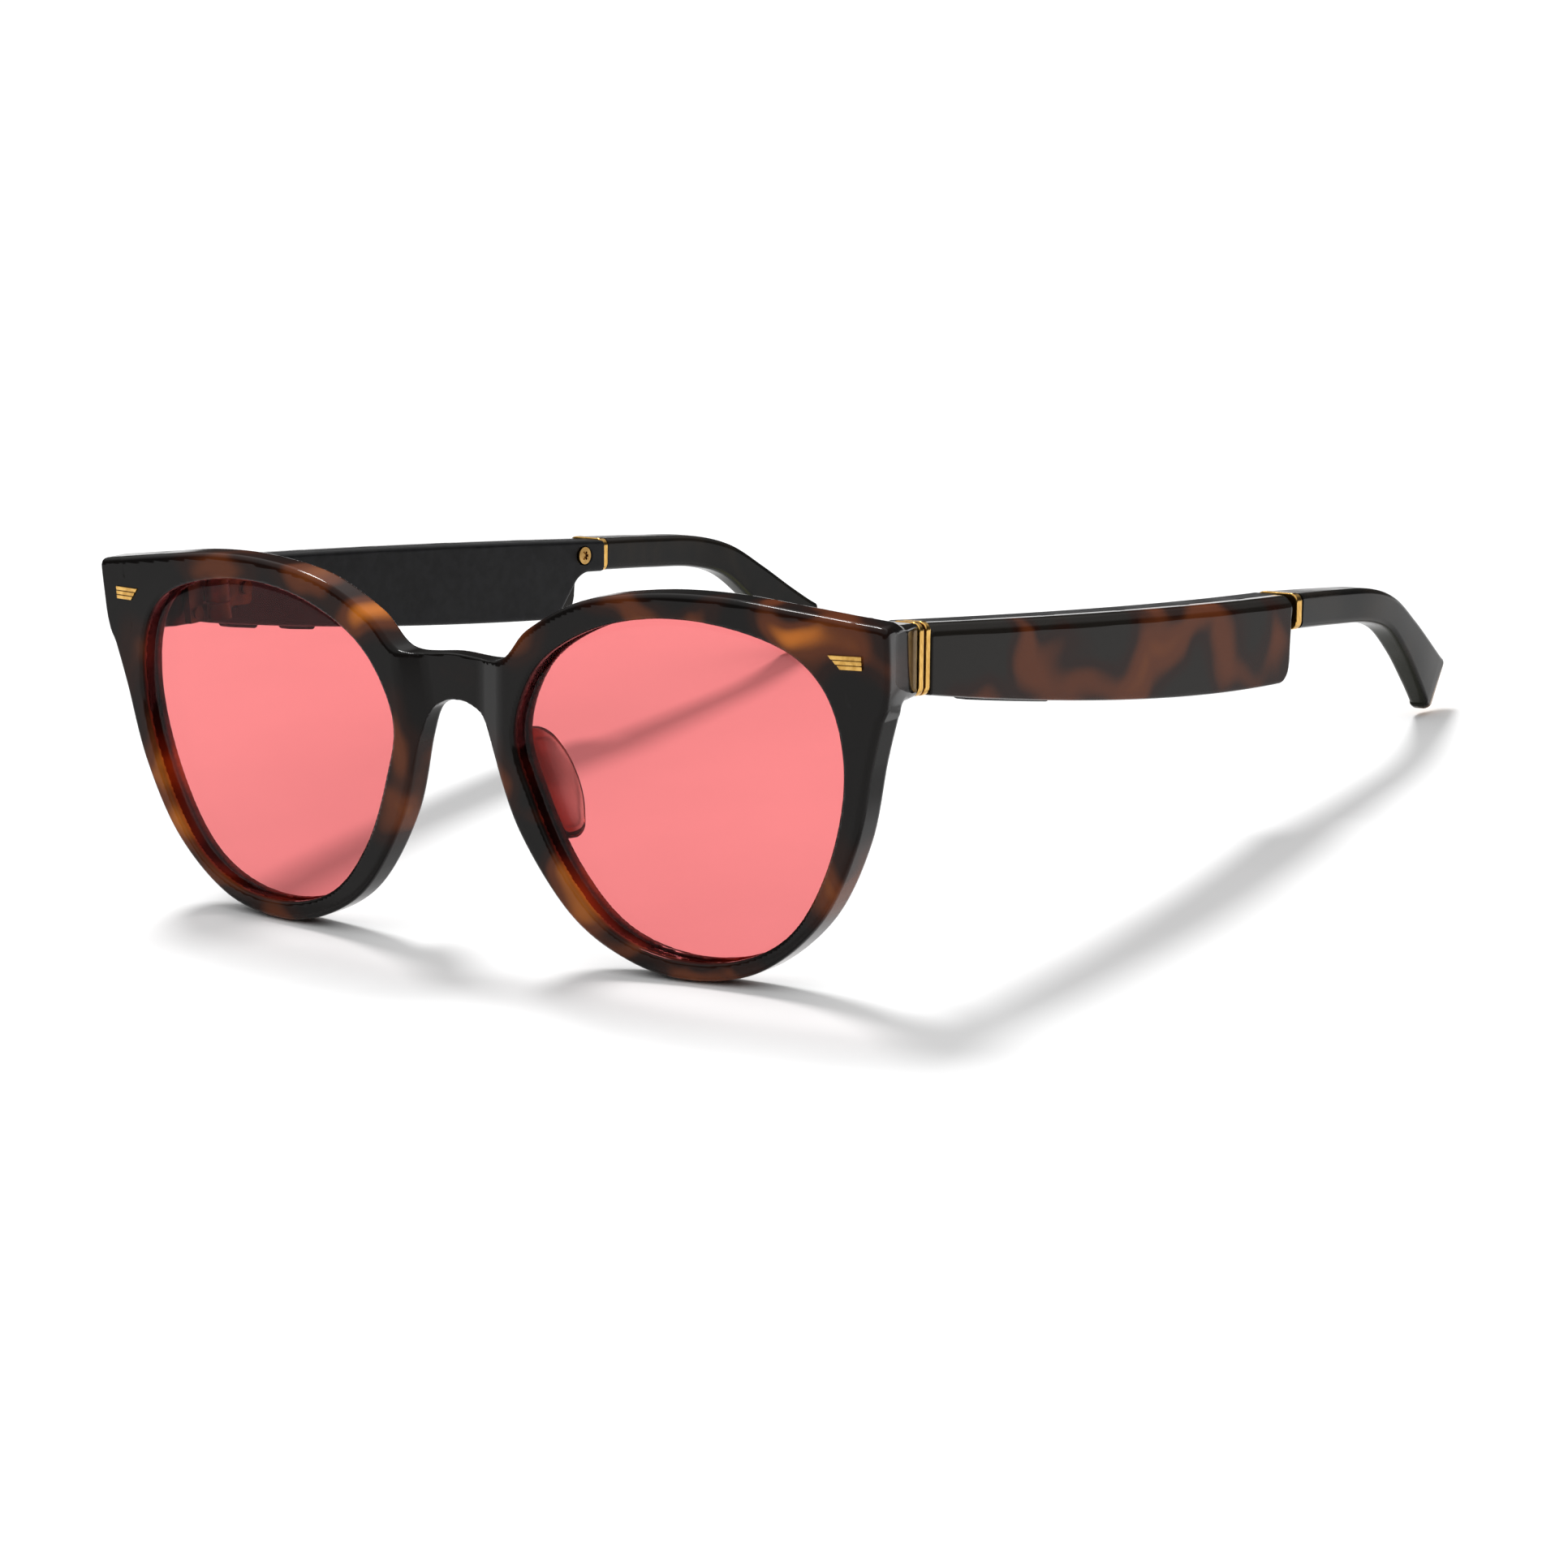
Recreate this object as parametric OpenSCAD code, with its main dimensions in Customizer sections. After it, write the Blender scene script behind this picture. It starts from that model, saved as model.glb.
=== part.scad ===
// Smart glasses: a tortoiseshell acetate front with two tinted lenses, and two
// temples that hold the electronics. Each temple is an acetate cover on a black
// inner housing, turns on a three-knuckle hinge and ends in an acetate tip on a
// core wire.
//
// Left and right are the wearer's. +X is the wearer's left, +Y runs back along
// the temples and +Z is up. The shapes are worked out in the worn frame, whose
// origin is the middle of the bridge's front face, and stand() then sets the
// glasses down on both rims and both tips.

/* [Front] */
// Thickness of the acetate front
front_thickness = 4.2; // [3.9:0.1:4.5]
// Radius of the front's wrap, seen from above
front_wrap_r = 490; // [420:10:600]
// Lean of the front against the temples, in degrees
front_lean = 6.53; // [6.2:0.1:6.8]
// How far the bridge's front face is set back
bridge_recess = 1.3; // [0.8:0.1:1.6]

/* [Lenses] */
// Thickness of each lens
lens_thickness = 2; // [1.6:0.1:2.2]
// Depth of the lens's front face behind the front's face
lens_depth = 1.2; // [1:0.1:1.4]
// How far the lens reaches into its groove
groove_reach = 0.6; // [0.4:0.1:0.8]

/* [Temples] */
// Outer half width of the glasses at the hinges
hinge_half_width = 66; // [65.8:0.1:66.4]
// Outward bow of each temple at its middle
temple_bow = 3.8; // [3:0.2:4.4]
// Thickness of a temple, cover and housing together
temple_thickness = 7.2; // [7:0.1:7.6]
// Thickness of the tortoiseshell cover in it
cover_thickness = 3; // [2.8:0.1:3.2]
// Thickness of the walls around the electronics
wall = 1.2; // [1:0.1:1.3]

/* [Hinges] */
// Radius of the hinge knuckles
knuckle_r = 1.7; // [1.5:0.1:1.8]
// Radius of the hinge screw's shank
hinge_pin_r = 0.7; // [0.6:0.05:0.8]
// Running clearance between shank and temple knuckle
pin_clearance = 0.05; // [0.02:0.01:0.08]

/* [Buttons] */
// How far the buttons stand out of the underside
button_proud = 0.5; // [0.3:0.1:0.6]
// Width of the buttons across the temple
button_w = 2.2; // [1.8:0.1:2.3]

/* [Stand] */
// Tilt of the worn frame when the glasses stand, in degrees
stand_tilt = 10.07; // [10:0.01:10.1]
// Height of the bridge's centre above the surface
stand_height = 31.88; // [31.8:0.01:32]
// Distance from the bridge back to the middle of the overall length
stand_middle = 72.19; // [72:0.01:72.6]

/* [Hidden] */
$fn = 64;
left = 1;
right = -1;
fit_gap = 0.04;

// Lens opening of the left rim, as seen from the front, from the nose and down
opening_points = [
    [10.3, -1.5], [12.4, -10], [17, -19.2], [24, -26.3], [33.5, -29.3], [44, -28.6],
    [52.5, -24.2], [58.4, -15.4], [61.5, -4.5], [60.5, 5], [55.6, 11.2], [46.2, 14.4],
    [34.8, 15.1], [23.8, 12.8], [14.8, 7.4]
];
// Outer outline of the left half, from the bridge's top to its underside
brow_points = [[8.7, 7.7], [14, 12.1], [22.8, 16.2], [33.6, 17.9], [44.4, 18], [56, 16.8], [67.4, 15.4]];
temple_edge_points = [[68.5, 15], [68.9, 13.8], [68.6, 8.3], [68, 5.6]];
cheek_points = [
    [67, 3.6], [65.2, -2], [62.2, -12.6], [56.3, -22.6], [46.8, -29.6], [36, -31.6],
    [26.5, -29.9], [17.8, -24.8], [10.3, -14.7], [6.5, -4.2], [4.6, -0.2], [2.4, 1.2], [0.8, 1.6]
];
bridge_top = 7.8;
bridge_underside = 1.6;
// Bridge step: half width at the middle's height, its growth upward, slant and ends
step_half = 8.6;
step_growth = 0.09;
step_slant = 4.2;
step_low = -9.5;
step_high = 10.2;

// Gold plaques: three ribs, each a little longer than the one below
plaque_low = 10;
plaque_rib = 0.6;
plaque_starts = [61.4, 60.8, 60.2];
plaque_end = 65;
plaque_middle = 62.6;
plaque_sink = 0.7;
plaque_proud = 0.25;

// Nose pads: line of the root on the rim's back, reach to the rear and outward lean
pad_root = [[9, -1.8], [9.3, -5], [10.3, -9], [12, -12.7], [14.2, -15.9]];
pad_base = 0.8;
pad_reach = 3.7;
pad_lean = 0.7;
pad_gap = 0.1;

// Endpieces, rings and hinges
ring_t = 0.95;
ring_gap = 0.4;
ring_rim = 1.3;
ring_width = 4.7;
ring_corner = 1.2;
endpiece_end = 13;
front_ring_y = endpiece_end + 0.01;
temple_ring_y = front_ring_y + ring_t + ring_gap;
temple_start = temple_ring_y + ring_t + 0.02;
ring_inner_x = hinge_half_width - temple_thickness + 0.15;
ring_low = 6.5;
ring_high = 15.7;
hinge_x = ring_inner_x - 2.05;
hinge_y = front_ring_y + ring_t + ring_gap / 2;
hinge_z = 11.1;
knuckle_gap = 0.1;
knuckle_h = 2.4;
knuckle_step = knuckle_h + knuckle_gap;
screw_top = 1.5 * knuckle_h + knuckle_gap;
rivet_r = 0.5;
rivet_z = [-2.4, 2.4];
leaf_t = 1.15;
leaf_y = [temple_start + 1.1, temple_start + 7.6];
leaf_z = [8.8, 13.4];
leaf_screw_y = [leaf_y[0] + 1.8, leaf_y[1] - 1.5];
leaf_screw_r = 0.55;
leaf_screw_lift = 0.2;

// Temples
tail_y = 99;
tail_drop_in = 0.4;
cover_end = 96.5;
housing_end = 97.55;
corner_r = 2.6;
cover_end_slant = 0.7;
neck_low = 8.75;
cavity_start = temple_start + 1.6;
cavity_end = 86;
top_front = 15.4;
top_slope = 0.0235;
bottom_low = 1.85;
bottom_rise = 4.75;
rocker_y = [25.2, 41.4];
rocker_pin_r = 0.27;
rocker_pin_up = 0.5;
action_y = [20.4, 27.3];
mute_y = [33.8, 40];
volume_switch_y = [28.5, 38.1];
action_switch_y = [23.8, 36.9];
button_gap = 0.12;
button_in = cover_thickness + 0.7;
switch_w = 2.4;
board_t = 0.8;
board_in = 3.4;
mic_y = 20.7;
mic_z = 8.8;
contact_y = 56.5;
contact_z = 8.4;
contact_offsets = [-2, 2];
contact_r = 1.1;
light_y = 30;
light_z = 11.5;
light_r = 0.6;

// Tips: centre line, with the section's width and height at each of its points
tip_line = [
    [62.5, 99.07, 11.2], [62, 110, 10.9], [61.5, 120, 10.4], [60.7, 127.5, 8.7],
    [59.9, 134, 4.9], [59.1, 139.8, 0.6], [58.2, 145, -3.4]
];
tip_widths = [6.6, 5.3, 4.5, 4.1, 3.6, 3.2, 2.8];
tip_heights = [4.8, 4.8, 4.8, 4.9, 5.8, 7.4, 9.3];
tip_corner = 1.1;
tip_gap = 0.2;
// Core wire in each tip, from the tang in the temple's neck
tang_x = 61.3;
core_points = [
    [tang_x, 96, 11.2], [tang_x, 101, 11.2], [61.6, 110, 10.9], [61.4, 120, 10.4],
    [60.7, 127.5, 8.7], [59.9, 134, 4.9]
];
core_r = 0.7;
tang_start = 91.5;
tip_screw_y = 93.7;
tip_screw_z = 11.3;

// A smooth curve through points: one stretch of it, then the whole line
function curve_at(a, b, c, d, t) =
    b + (c - a) * t / 2 + (2 * a - 5 * b + 4 * c - d) * t * t / 2
    + (3 * b - 3 * c + d - a) * t * t * t / 2;
function closed_curve(p, n) = let (m = len(p)) [
    for (i = [0:m - 1]) for (k = [0:n - 1])
        curve_at(p[(i + m - 1) % m], p[i], p[(i + 1) % m], p[(i + 2) % m], k / n)
];
function open_curve(p, n) = let (m = len(p)) concat([
    for (i = [0:m - 2]) for (k = [0:n - 1])
        curve_at(p[max(i - 1, 0)], p[i], p[i + 1], p[min(i + 2, m - 1)], k / n)
], [p[m - 1]]);

// A closed outline moved outward by d, for an outline drawn counter-clockwise
function unit(v) = v / norm(v);
function grown(p, d) = let (m = len(p)) [
    for (i = [0:m - 1]) let (t = unit(p[(i + 1) % m] - p[(i + m - 1) % m]))
        p[i] + d * [t[1], -t[0]]
];
function mirrored(p) = [for (i = [len(p) - 1:-1:0]) [-p[i][0], p[i][1]]];

opening = closed_curve(opening_points, 5);
half_outline = concat(
    open_curve(brow_points, 5), temple_edge_points, open_curve(cheek_points, 5)
);
front_outline = concat(
    [[0, bridge_top]], half_outline, [[0, bridge_underside]], mirrored(half_outline)
);

// Temple surfaces: outer face, top edge and bottom edge at a distance y back
function outer_x(y) = let (t = (y - 14) / (tail_y - 14))
    hinge_half_width - tail_drop_in * t + 4 * temple_bow * t * (1 - t);
function top_z(y) = top_front - top_slope * (y - temple_start);
function bottom_z(y) = bottom_low + bottom_rise * pow((95 - y) / 80, 2);

module along_y(y0, y1) {
    translate([0, y1, 0]) rotate([90, 0, 0]) linear_extrude(y1 - y0) children();
}

module along_x(x0, x1) {
    translate([x0, 0, 0]) rotate([90, 0, 90]) linear_extrude(x1 - x0) children();
}

module along_z(z0, z1) {
    translate([0, 0, z0]) linear_extrude(z1 - z0) children();
}

module block(low, high) {
    translate(low) cube(high - low);
}

module rod_x(x0, x1, y, z, r) {
    translate([x0, y, z]) rotate([0, 90, 0]) cylinder(r = r, h = x1 - x0);
}

module side(s) {
    mirror([s == left ? 0 : 1, 0, 0]) children();
}

module stand() {
    translate([0, -stand_middle, stand_height]) rotate([-stand_tilt, 0, 0]) children();
}

module in_front_plane() {
    rotate([front_lean, 0, 0]) children();
}

// A closed skin over a row of sections with the same number of points
module loft(rows) {
    n = len(rows[0]);
    m = len(rows);
    polyhedron(
        points = [for (row = rows) each row],
        faces = concat(
            [[for (j = [n - 1:-1:0]) j]],
            [for (i = [0:m - 2]) for (j = [0:n - 1]) each [
                [i * n + j, i * n + (j + 1) % n, (i + 1) * n + j],
                [i * n + (j + 1) % n, (i + 1) * n + (j + 1) % n, (i + 1) * n + j]
            ]],
            [[for (j = [0:n - 1]) (m - 1) * n + j]]
        ),
        convexity = 4
    );
}

// The front --------------------------------------------------------------

// The layer of the curved front between two depths
module front_layer(d0, d1) {
    translate([0, front_wrap_r, -50]) difference() {
        cylinder(r = front_wrap_r - d0, h = 100, $fn = 720);
        translate([0, 0, -1]) cylinder(r = front_wrap_r - d1, h = 102, $fn = 720);
    }
}

module front_plate(d0, d1) {
    intersection() {
        front_layer(d0, d1);
        along_y(-2, 24) children();
    }
}

// The waste in front of the bridge, wider towards the top
module bridge_step() {
    run = step_slant / bridge_recess;
    module flank(front, back) {
        rotate([0, atan(step_growth), 0]) translate([0, 0, step_low])
            linear_extrude(step_high - step_low) polygon([
                [-20, -front], [step_half + front * run, -front], [step_half - back * run, back], [-20, back]
            ]);
    }
    intersection() {
        flank(1, bridge_recess);
        mirror([1, 0, 0]) flank(2, bridge_recess + 0.4);
    }
}

endpiece_plan = [
    [68.9, 4.6], [hinge_half_width, endpiece_end], [ring_inner_x, endpiece_end],
    [ring_inner_x + 0.1, 10], [60.6, 7.6], [61.6, 6.2], [62.5, 5]
];
endpiece_side = [[3, 6.1], [8, 6.2], [endpiece_end, 6.6], [endpiece_end, 15.6], [3, 15.9]];
module endpiece() {
    intersection() {
        along_z(0, 20) polygon(endpiece_plan);
        along_x(50, 75) polygon(endpiece_side);
    }
}

// The waste outside the endpiece's slanted outer side
module endpiece_taper() {
    along_z(5.7, 20) polygon([
        [68.95, 4.6], [hinge_half_width, endpiece_end], [80, endpiece_end], [80, 4.6]
    ]);
}

module leaf_rivet_holes(r) {
    for (z = rivet_z)
        at_hinge() rod_x(0.6, 5.2, -3.2, z, r);
}

module front_frame() color([0.3, 0.15, 0.08]) stand() {
    difference() {
        union() {
            in_front_plane() difference() {
                front_plate(0, front_thickness) polygon(front_outline);
                for (s = [left, right]) side(s) {
                    along_y(-2, 24) polygon(grown(opening, -0.35));
                    front_plate(lens_depth - 0.02, lens_depth + lens_thickness + 0.02)
                        polygon(grown(opening, groove_reach - 0.35 + fit_gap));
                    plaque_solid(plaque_sink + fit_gap, fit_gap);
                }
                bridge_step();
            }
            for (s = [left, right]) side(s) endpiece();
        }
        for (s = [left, right]) side(s) {
            endpiece_taper();
            leaf_rivet_holes(rivet_r + 0.02);
        }
    }
}

module lens(s) color([0.95, 0.5, 0.52, 0.6]) stand() in_front_plane() side(s)
    front_plate(lens_depth, lens_depth + lens_thickness)
        polygon(grown(opening, groove_reach - 0.35));

// A gold plaque with three ribs and a stepped, slanted end towards the nose
module on_front(x) {
    translate([x, front_wrap_r - sqrt(pow(front_wrap_r, 2) - x * x), 0])
        rotate([0, 0, asin(x / front_wrap_r)]) translate([-x, 0, 0]) children();
}

module plaque_solid(sink, grow) {
    on_front(plaque_middle) for (i = [0:2])
        block([plaque_starts[i] - grow, -plaque_proud, plaque_low + i * plaque_rib - grow],
            [plaque_end + grow, sink, plaque_low + (i + 1) * plaque_rib + grow]);
}

module plaque(s) color("gold") stand() in_front_plane() side(s) difference() {
    plaque_solid(plaque_sink, 0);
    on_front(plaque_middle) for (i = [1, 2])
        block([59, -1, plaque_low + i * plaque_rib - 0.06], [66, -0.1, plaque_low + i * plaque_rib + 0.06]);
}

// Nose pads: fins behind the rims that grow out of them and lean apart
module nose_pad(s) color([0.75, 0.6, 0.5]) stand() in_front_plane() side(s) {
    root = open_curve(pad_root, 4);
    last = len(root) - 1;
    loft([for (i = [0:last]) let (
            p = root[i],
            base = front_thickness + pad_gap + p[0] * p[0] / (2 * front_wrap_r),
            reach = pad_base + pad_reach * pow(sin(180 * (i + 0.6) / (last + 1.2)), 0.7),
            lean = pad_lean * reach
        ) [
            [p[0] - 1.3, base, p[1]], [p[0] + 1.4, base, p[1]],
            [p[0] + 1.3 + 0.6 * lean, base + 0.6 * reach, p[1]],
            [p[0] + 1.1 + 0.9 * lean, base + 0.92 * reach, p[1]],
            [p[0] + 0.4 + lean, base + reach, p[1]],
            [p[0] - 0.5 + 0.9 * lean, base + 0.88 * reach, p[1]],
            [p[0] - 1.1 + 0.5 * lean, base + 0.5 * reach, p[1]]
        ]]);
}

// Rings and hinges -------------------------------------------------------

// A rectangle with round corners, made of straight and round pieces
module soft_rect(x0, x1, z0, z1, r) {
    translate([x0 + r, z0]) square([x1 - x0 - 2 * r, z1 - z0]);
    translate([x0, z0 + r]) square([x1 - x0, z1 - z0 - 2 * r]);
    for (x = [x0 + r, x1 - r]) for (z = [z0 + r, z1 - r])
        translate([x, z]) circle(r = r);
}

module soft_box_y(x0, x1, z0, z1, y0, y1, r) {
    along_y(y0, y1) soft_rect(x0, x1, z0, z1, r);
}

module hinge_ring(y) {
    difference() {
        soft_box_y(hinge_half_width + 0.05 - ring_width, hinge_half_width + 0.05, ring_low, ring_high,
            y, y + ring_t, ring_corner);
        soft_box_y(hinge_half_width - ring_width + ring_rim, hinge_half_width - ring_rim, ring_low + ring_rim,
            ring_high - ring_rim, y - 1, y + ring_t + 1, ring_corner / 2);
    }
}

module front_ring(s) color("goldenrod") stand() side(s) hinge_ring(front_ring_y);
module temple_ring(s) color("goldenrod") stand() side(s) hinge_ring(temple_ring_y);

// The hinge's own frame: its pin runs along Z, parallel to the front
module at_hinge() {
    translate([hinge_x, hinge_y, hinge_z]) rotate([front_lean, 0, 0]) children();
}

module knuckle(z0, bore) {
    difference() {
        union() {
            translate([0, 0, z0]) cylinder(r = knuckle_r, h = knuckle_h);
            children();
        }
        translate([0, 0, z0 - 1]) cylinder(r = bore, h = knuckle_h + 2);
    }
}

module front_hinge_leaf(s) color("gold") stand() side(s) at_hinge() {
    difference() {
        union() {
            for (k = [-1, 1]) {
                z0 = k * knuckle_step - knuckle_h / 2;
                knuckle(z0, hinge_pin_r + 0.01)
                    block([0, -2.2, z0], [2, 0, z0 + knuckle_h]);
            }
            block([2.02 - leaf_t, -4.6, -3.7], [2.02, -2, 3.7]);
        }
        for (z = rivet_z) rod_x(0, 3, -3.2, z, rivet_r + 0.02);
    }
}

module front_leaf_rivets() color("goldenrod") stand()
    for (s = [left, right]) side(s) at_hinge() for (z = rivet_z) {
        rod_x(0.87, 5, -3.2, z, rivet_r);
        rod_x(0.5, 0.86, -3.2, z, 0.85);
    }
// Hinge screw: a shank with a slotted head above the upper knuckle
module hinge_screw(s) color("goldenrod") stand() side(s) at_hinge() difference() {
    union() {
        translate([0, 0, -screw_top]) cylinder(r = hinge_pin_r, h = 2 * screw_top + 0.1);
        translate([0, 0, screw_top + 0.02]) cylinder(r = 1.25, h = 0.6);
    }
    block([-2, -0.18, screw_top + 0.35], [2, 0.18, screw_top + 1]);
}

module temple_hinge_leaf(s) color("gold") stand() side(s) difference() {
    union() {
        at_hinge() knuckle(-knuckle_h / 2, hinge_pin_r + pin_clearance)
            block([0, 0, -knuckle_h / 2], [1.85, 2.95, knuckle_h / 2]);
        intersection() {
            along_z(leaf_z[0], leaf_z[1]) polygon(plan_band(leaf_y[0], leaf_y[1],
                temple_thickness + 0.03, temple_thickness + leaf_t));
            along_x(50, 75) soft_rect(leaf_y[0], leaf_y[1], leaf_z[0], leaf_z[1], 0.8);
        }
    }
    at_hinge() cylinder(r = hinge_pin_r + pin_clearance, h = 20, center = true);
    for (y = leaf_screw_y) rod_x(40, 75, y, hinge_z, leaf_screw_r + 0.03);
}

module temple_leaf_screws(s) color("goldenrod") stand() side(s) for (y = leaf_screw_y) {
    face_x = outer_x(y) - temple_thickness - leaf_t;
    rod_x(face_x - leaf_screw_lift, face_x + leaf_t + wall + 0.3, y, hinge_z, leaf_screw_r);
    rod_x(face_x - leaf_screw_lift - 0.35, face_x - leaf_screw_lift, y, hinge_z, 0.95);
}

// Temples ----------------------------------------------------------------

// Plan of a temple layer between two depths below its outer face
function plan_band(y0, y1, d0, d1) = let (n = max(1, round((y1 - y0) / 6))) concat(
    [for (i = [0:n]) let (y = y0 + (y1 - y0) * i / n) [outer_x(y) - d0, y]],
    [for (i = [n:-1:0]) let (y = y0 + (y1 - y0) * i / n) [outer_x(y) - d1, y]]
);
// Side view between offsets from the bottom and the top edge
function side_band(y0, y1, low, high) = let (n = max(1, round((y1 - y0) / 6))) concat(
    [for (i = [0:n]) let (y = y0 + (y1 - y0) * i / n) [y, bottom_z(y) + low]],
    [for (i = [n:-1:0]) let (y = y0 + (y1 - y0) * i / n) [y, top_z(y) - high]]
);
module temple_solid(y0, y1, d0, d1, low, high) {
    intersection() {
        along_z(-5, 20) polygon(plan_band(y0, y1, d0, d1));
        along_x(40, 80) polygon(side_band(y0, y1, low, high));
    }
}

// A slab of a temple with flat ends, between two heights
module temple_slab(y0, y1, d0, d1, z0, z1) {
    along_z(z0, z1) polygon(plan_band(y0, y1, d0, d1));
}

module cavity() {
    temple_solid(cavity_start, cavity_end, 1.4, temple_thickness - wall, wall, wall);
}

function cover_side() = let (
        low_end = cover_end - cover_end_slant - corner_r,
        flat = side_band(temple_start, low_end, 0, 0),
        n = len(flat) / 2
    ) concat(
        [for (i = [0:n - 1]) flat[i]],
        [for (a = [-80:16:0]) [low_end + corner_r * cos(a), bottom_low + corner_r + corner_r * sin(a)]],
        [[cover_end, top_z(cover_end)]],
        [for (i = [n:2 * n - 1]) flat[i]]
    );
module outer_cover(s) color([0.35, 0.18, 0.1]) stand() side(s) difference() {
    intersection() {
        along_z(-5, 20) polygon(plan_band(temple_start, cover_end, 0, cover_thickness));
        along_x(40, 80) polygon(cover_side());
    }
    cavity();
}

function housing_side() = let (flat = side_band(temple_start, 87.5, 0, 0), n = len(flat) / 2) concat(
    [for (i = [0:n - 1]) flat[i]],
    [[89, 2.3], [90.2, 3.6], [92.2, 7.4], [93, 8.4], [94, neck_low], [housing_end, neck_low]],
    [[housing_end, top_z(housing_end)]],
    [for (i = [n:2 * n - 1]) flat[i]]
);
module button_cut(y) {
    temple_slab(y[0] - button_gap, y[1] + button_gap, button_in - 0.1, button_in + button_w + 0.1,
        -2, bottom_z(y[0]) + wall + 0.6);
}

// Pin that the volume rocker turns on, across its window
module rocker_pin(r) {
    y = (rocker_y[0] + rocker_y[1]) / 2;
    rod_x(outer_x(y) - button_in - button_w - 0.3, outer_x(y) - button_in + 0.3,
        y, bottom_z(y) + rocker_pin_up, r);
}

module housing_body(s) difference() {
    intersection() {
        along_z(-5, 20) polygon(plan_band(temple_start, housing_end,
            cover_thickness + fit_gap, temple_thickness));
        along_x(40, 80) polygon(housing_side());
    }
    cavity();
    for (y = s == left ? [rocker_y] : [action_y, mute_y]) button_cut(y);
    // Sound port under the speaker, with a step that holds the mesh
    temple_slab(78.5, 83.5, 4.2, 5.4, 0, 5);
    temple_slab(78, 84, 3.9, 5.7, bottom_z(81) + 0.5, 5);
    rod_x(50, 70, mic_y, mic_z, 0.4);
    for (y = leaf_screw_y) rod_x(50, 75, y, hinge_z, leaf_screw_r + 0.03);
    // Slot of the core wire's tang, and the screw that holds it
    block([outer_x(95) - 6.05, tang_start - 0.1, 9.7], [outer_x(95) - 3.9, housing_end + 1, 12.75]);
    rod_x(50, outer_x(95) - 5, tip_screw_y, tip_screw_z, 0.65);
    rod_x(50, outer_x(tip_screw_y) - temple_thickness + 0.55, tip_screw_y, tip_screw_z, 1.4);
    if (s == left) {
        contact_pocket(fit_gap, 1);
        rod_x(50, 70, light_y, light_z, light_r + 0.03);
    }
}

module inner_housing(s) color([0.12, 0.12, 0.13]) stand() side(s) {
    housing_body(s);
    if (s == left) rocker_pin(rocker_pin_r);
}

// Electronics ------------------------------------------------------------

module circuit_board(s) color("darkgreen") stand() side(s) {
    temple_solid(cavity_start + 0.8, 50, board_in, board_in + board_t, 3.3, wall + 0.3);
    // Chips: processor, radio, power and audio
    for (chip = [[21, 26, 1], [29, 33, 0.8], [36, 41, 1.1], [44, 47.5, 0.9]])
        temple_slab(chip[0], chip[1], board_in - chip[2], board_in, 9.6, 12.6);
}

module battery(s) color("silver") stand() side(s)
    temple_solid(51, 74, 1.9, 5.5, wall + 0.5, wall + 0.5);
module speaker(s) color("dimgray") stand() side(s) {
    temple_solid(75.5, 85.5, 1.7, 5.7, wall + 0.9, wall + 0.3);
    temple_slab(78.6, 83.4, 4.3, 5.3, bottom_z(81) + 1.1, 5);
}

module speaker_mesh(s) color("gray") stand() side(s)
    temple_slab(78.1, 83.9, 4, 5.6, bottom_z(81) + 0.55, bottom_z(81) + 0.95);
module microphone(s) color("silver") stand() side(s)
    temple_slab(mic_y - 1, mic_y + 1, board_in + board_t + 0.02, temple_thickness - wall - 0.05,
        mic_z - 0.65, mic_z + 1);
module switches(y_list) {
    for (y = y_list)
        temple_slab(y - 1.2, y + 1.2, button_in, button_in + button_w - 0.1,
            bottom_z(y) + 2.15, bottom_z(y) + 3.1);
}

module volume_switches() color("gray") stand() side(left) switches(volume_switch_y);
module action_switches() color("gray") stand() side(right) switches(action_switch_y);

// Buttons: a cap through the underside with a flange that holds it in
module button_body(y, proud) {
    flange = [y[0] - 0.7, y[1] + 0.7];
    intersection() {
        along_z(-5, 20) polygon(plan_band(y[0], y[1], button_in, button_in + button_w));
        along_x(40, 80) polygon(underside_strip(y, -proud, 1.5));
    }
    intersection() {
        along_z(-5, 20) polygon(plan_band(flange[0], flange[1],
            button_in + 0.1, button_in + button_w - 0.1));
        along_x(40, 80) polygon(underside_strip(flange, 1.42, 1.75));
    }
}

// Side view of a strip along the underside, between two heights above it
function underside_strip(y, low, high) = let (n = 4) concat(
    [for (i = [0:n]) let (q = y[0] + (y[1] - y[0]) * i / n) [q, bottom_z(q) + low]],
    [for (i = [n:-1:0]) let (q = y[0] + (y[1] - y[0]) * i / n) [q, bottom_z(q) + high]]
);
module volume_rocker() color([0.1, 0.1, 0.1]) stand() side(left) difference() {
    button_body(rocker_y, button_proud - 0.1);
    rocker_pin(rocker_pin_r + pin_clearance);
}

module action_button() color([0.1, 0.1, 0.1]) stand() side(right) button_body(action_y, button_proud);
module mute_button() color([0.1, 0.1, 0.1]) stand() side(right) button_body(mute_y, button_proud);

// Charging: a flat plate in the left temple's inner face with two contacts
contact_face = outer_x(contact_y) - temple_thickness;
module contact_pocket(gap, out) {
    block([contact_face - out, contact_y - 4 - gap, contact_z - 2 - gap],
        [contact_face + 0.7 + gap, contact_y + 4 + gap, contact_z + 2 + gap]);
}

module charging_plate() color([0.16, 0.16, 0.17]) stand() side(left) difference() {
    contact_pocket(0, 0.05);
    for (d = contact_offsets)
        rod_x(contact_face - 1, contact_face + 0.5, contact_y + d, contact_z, contact_r + fit_gap);
}

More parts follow.
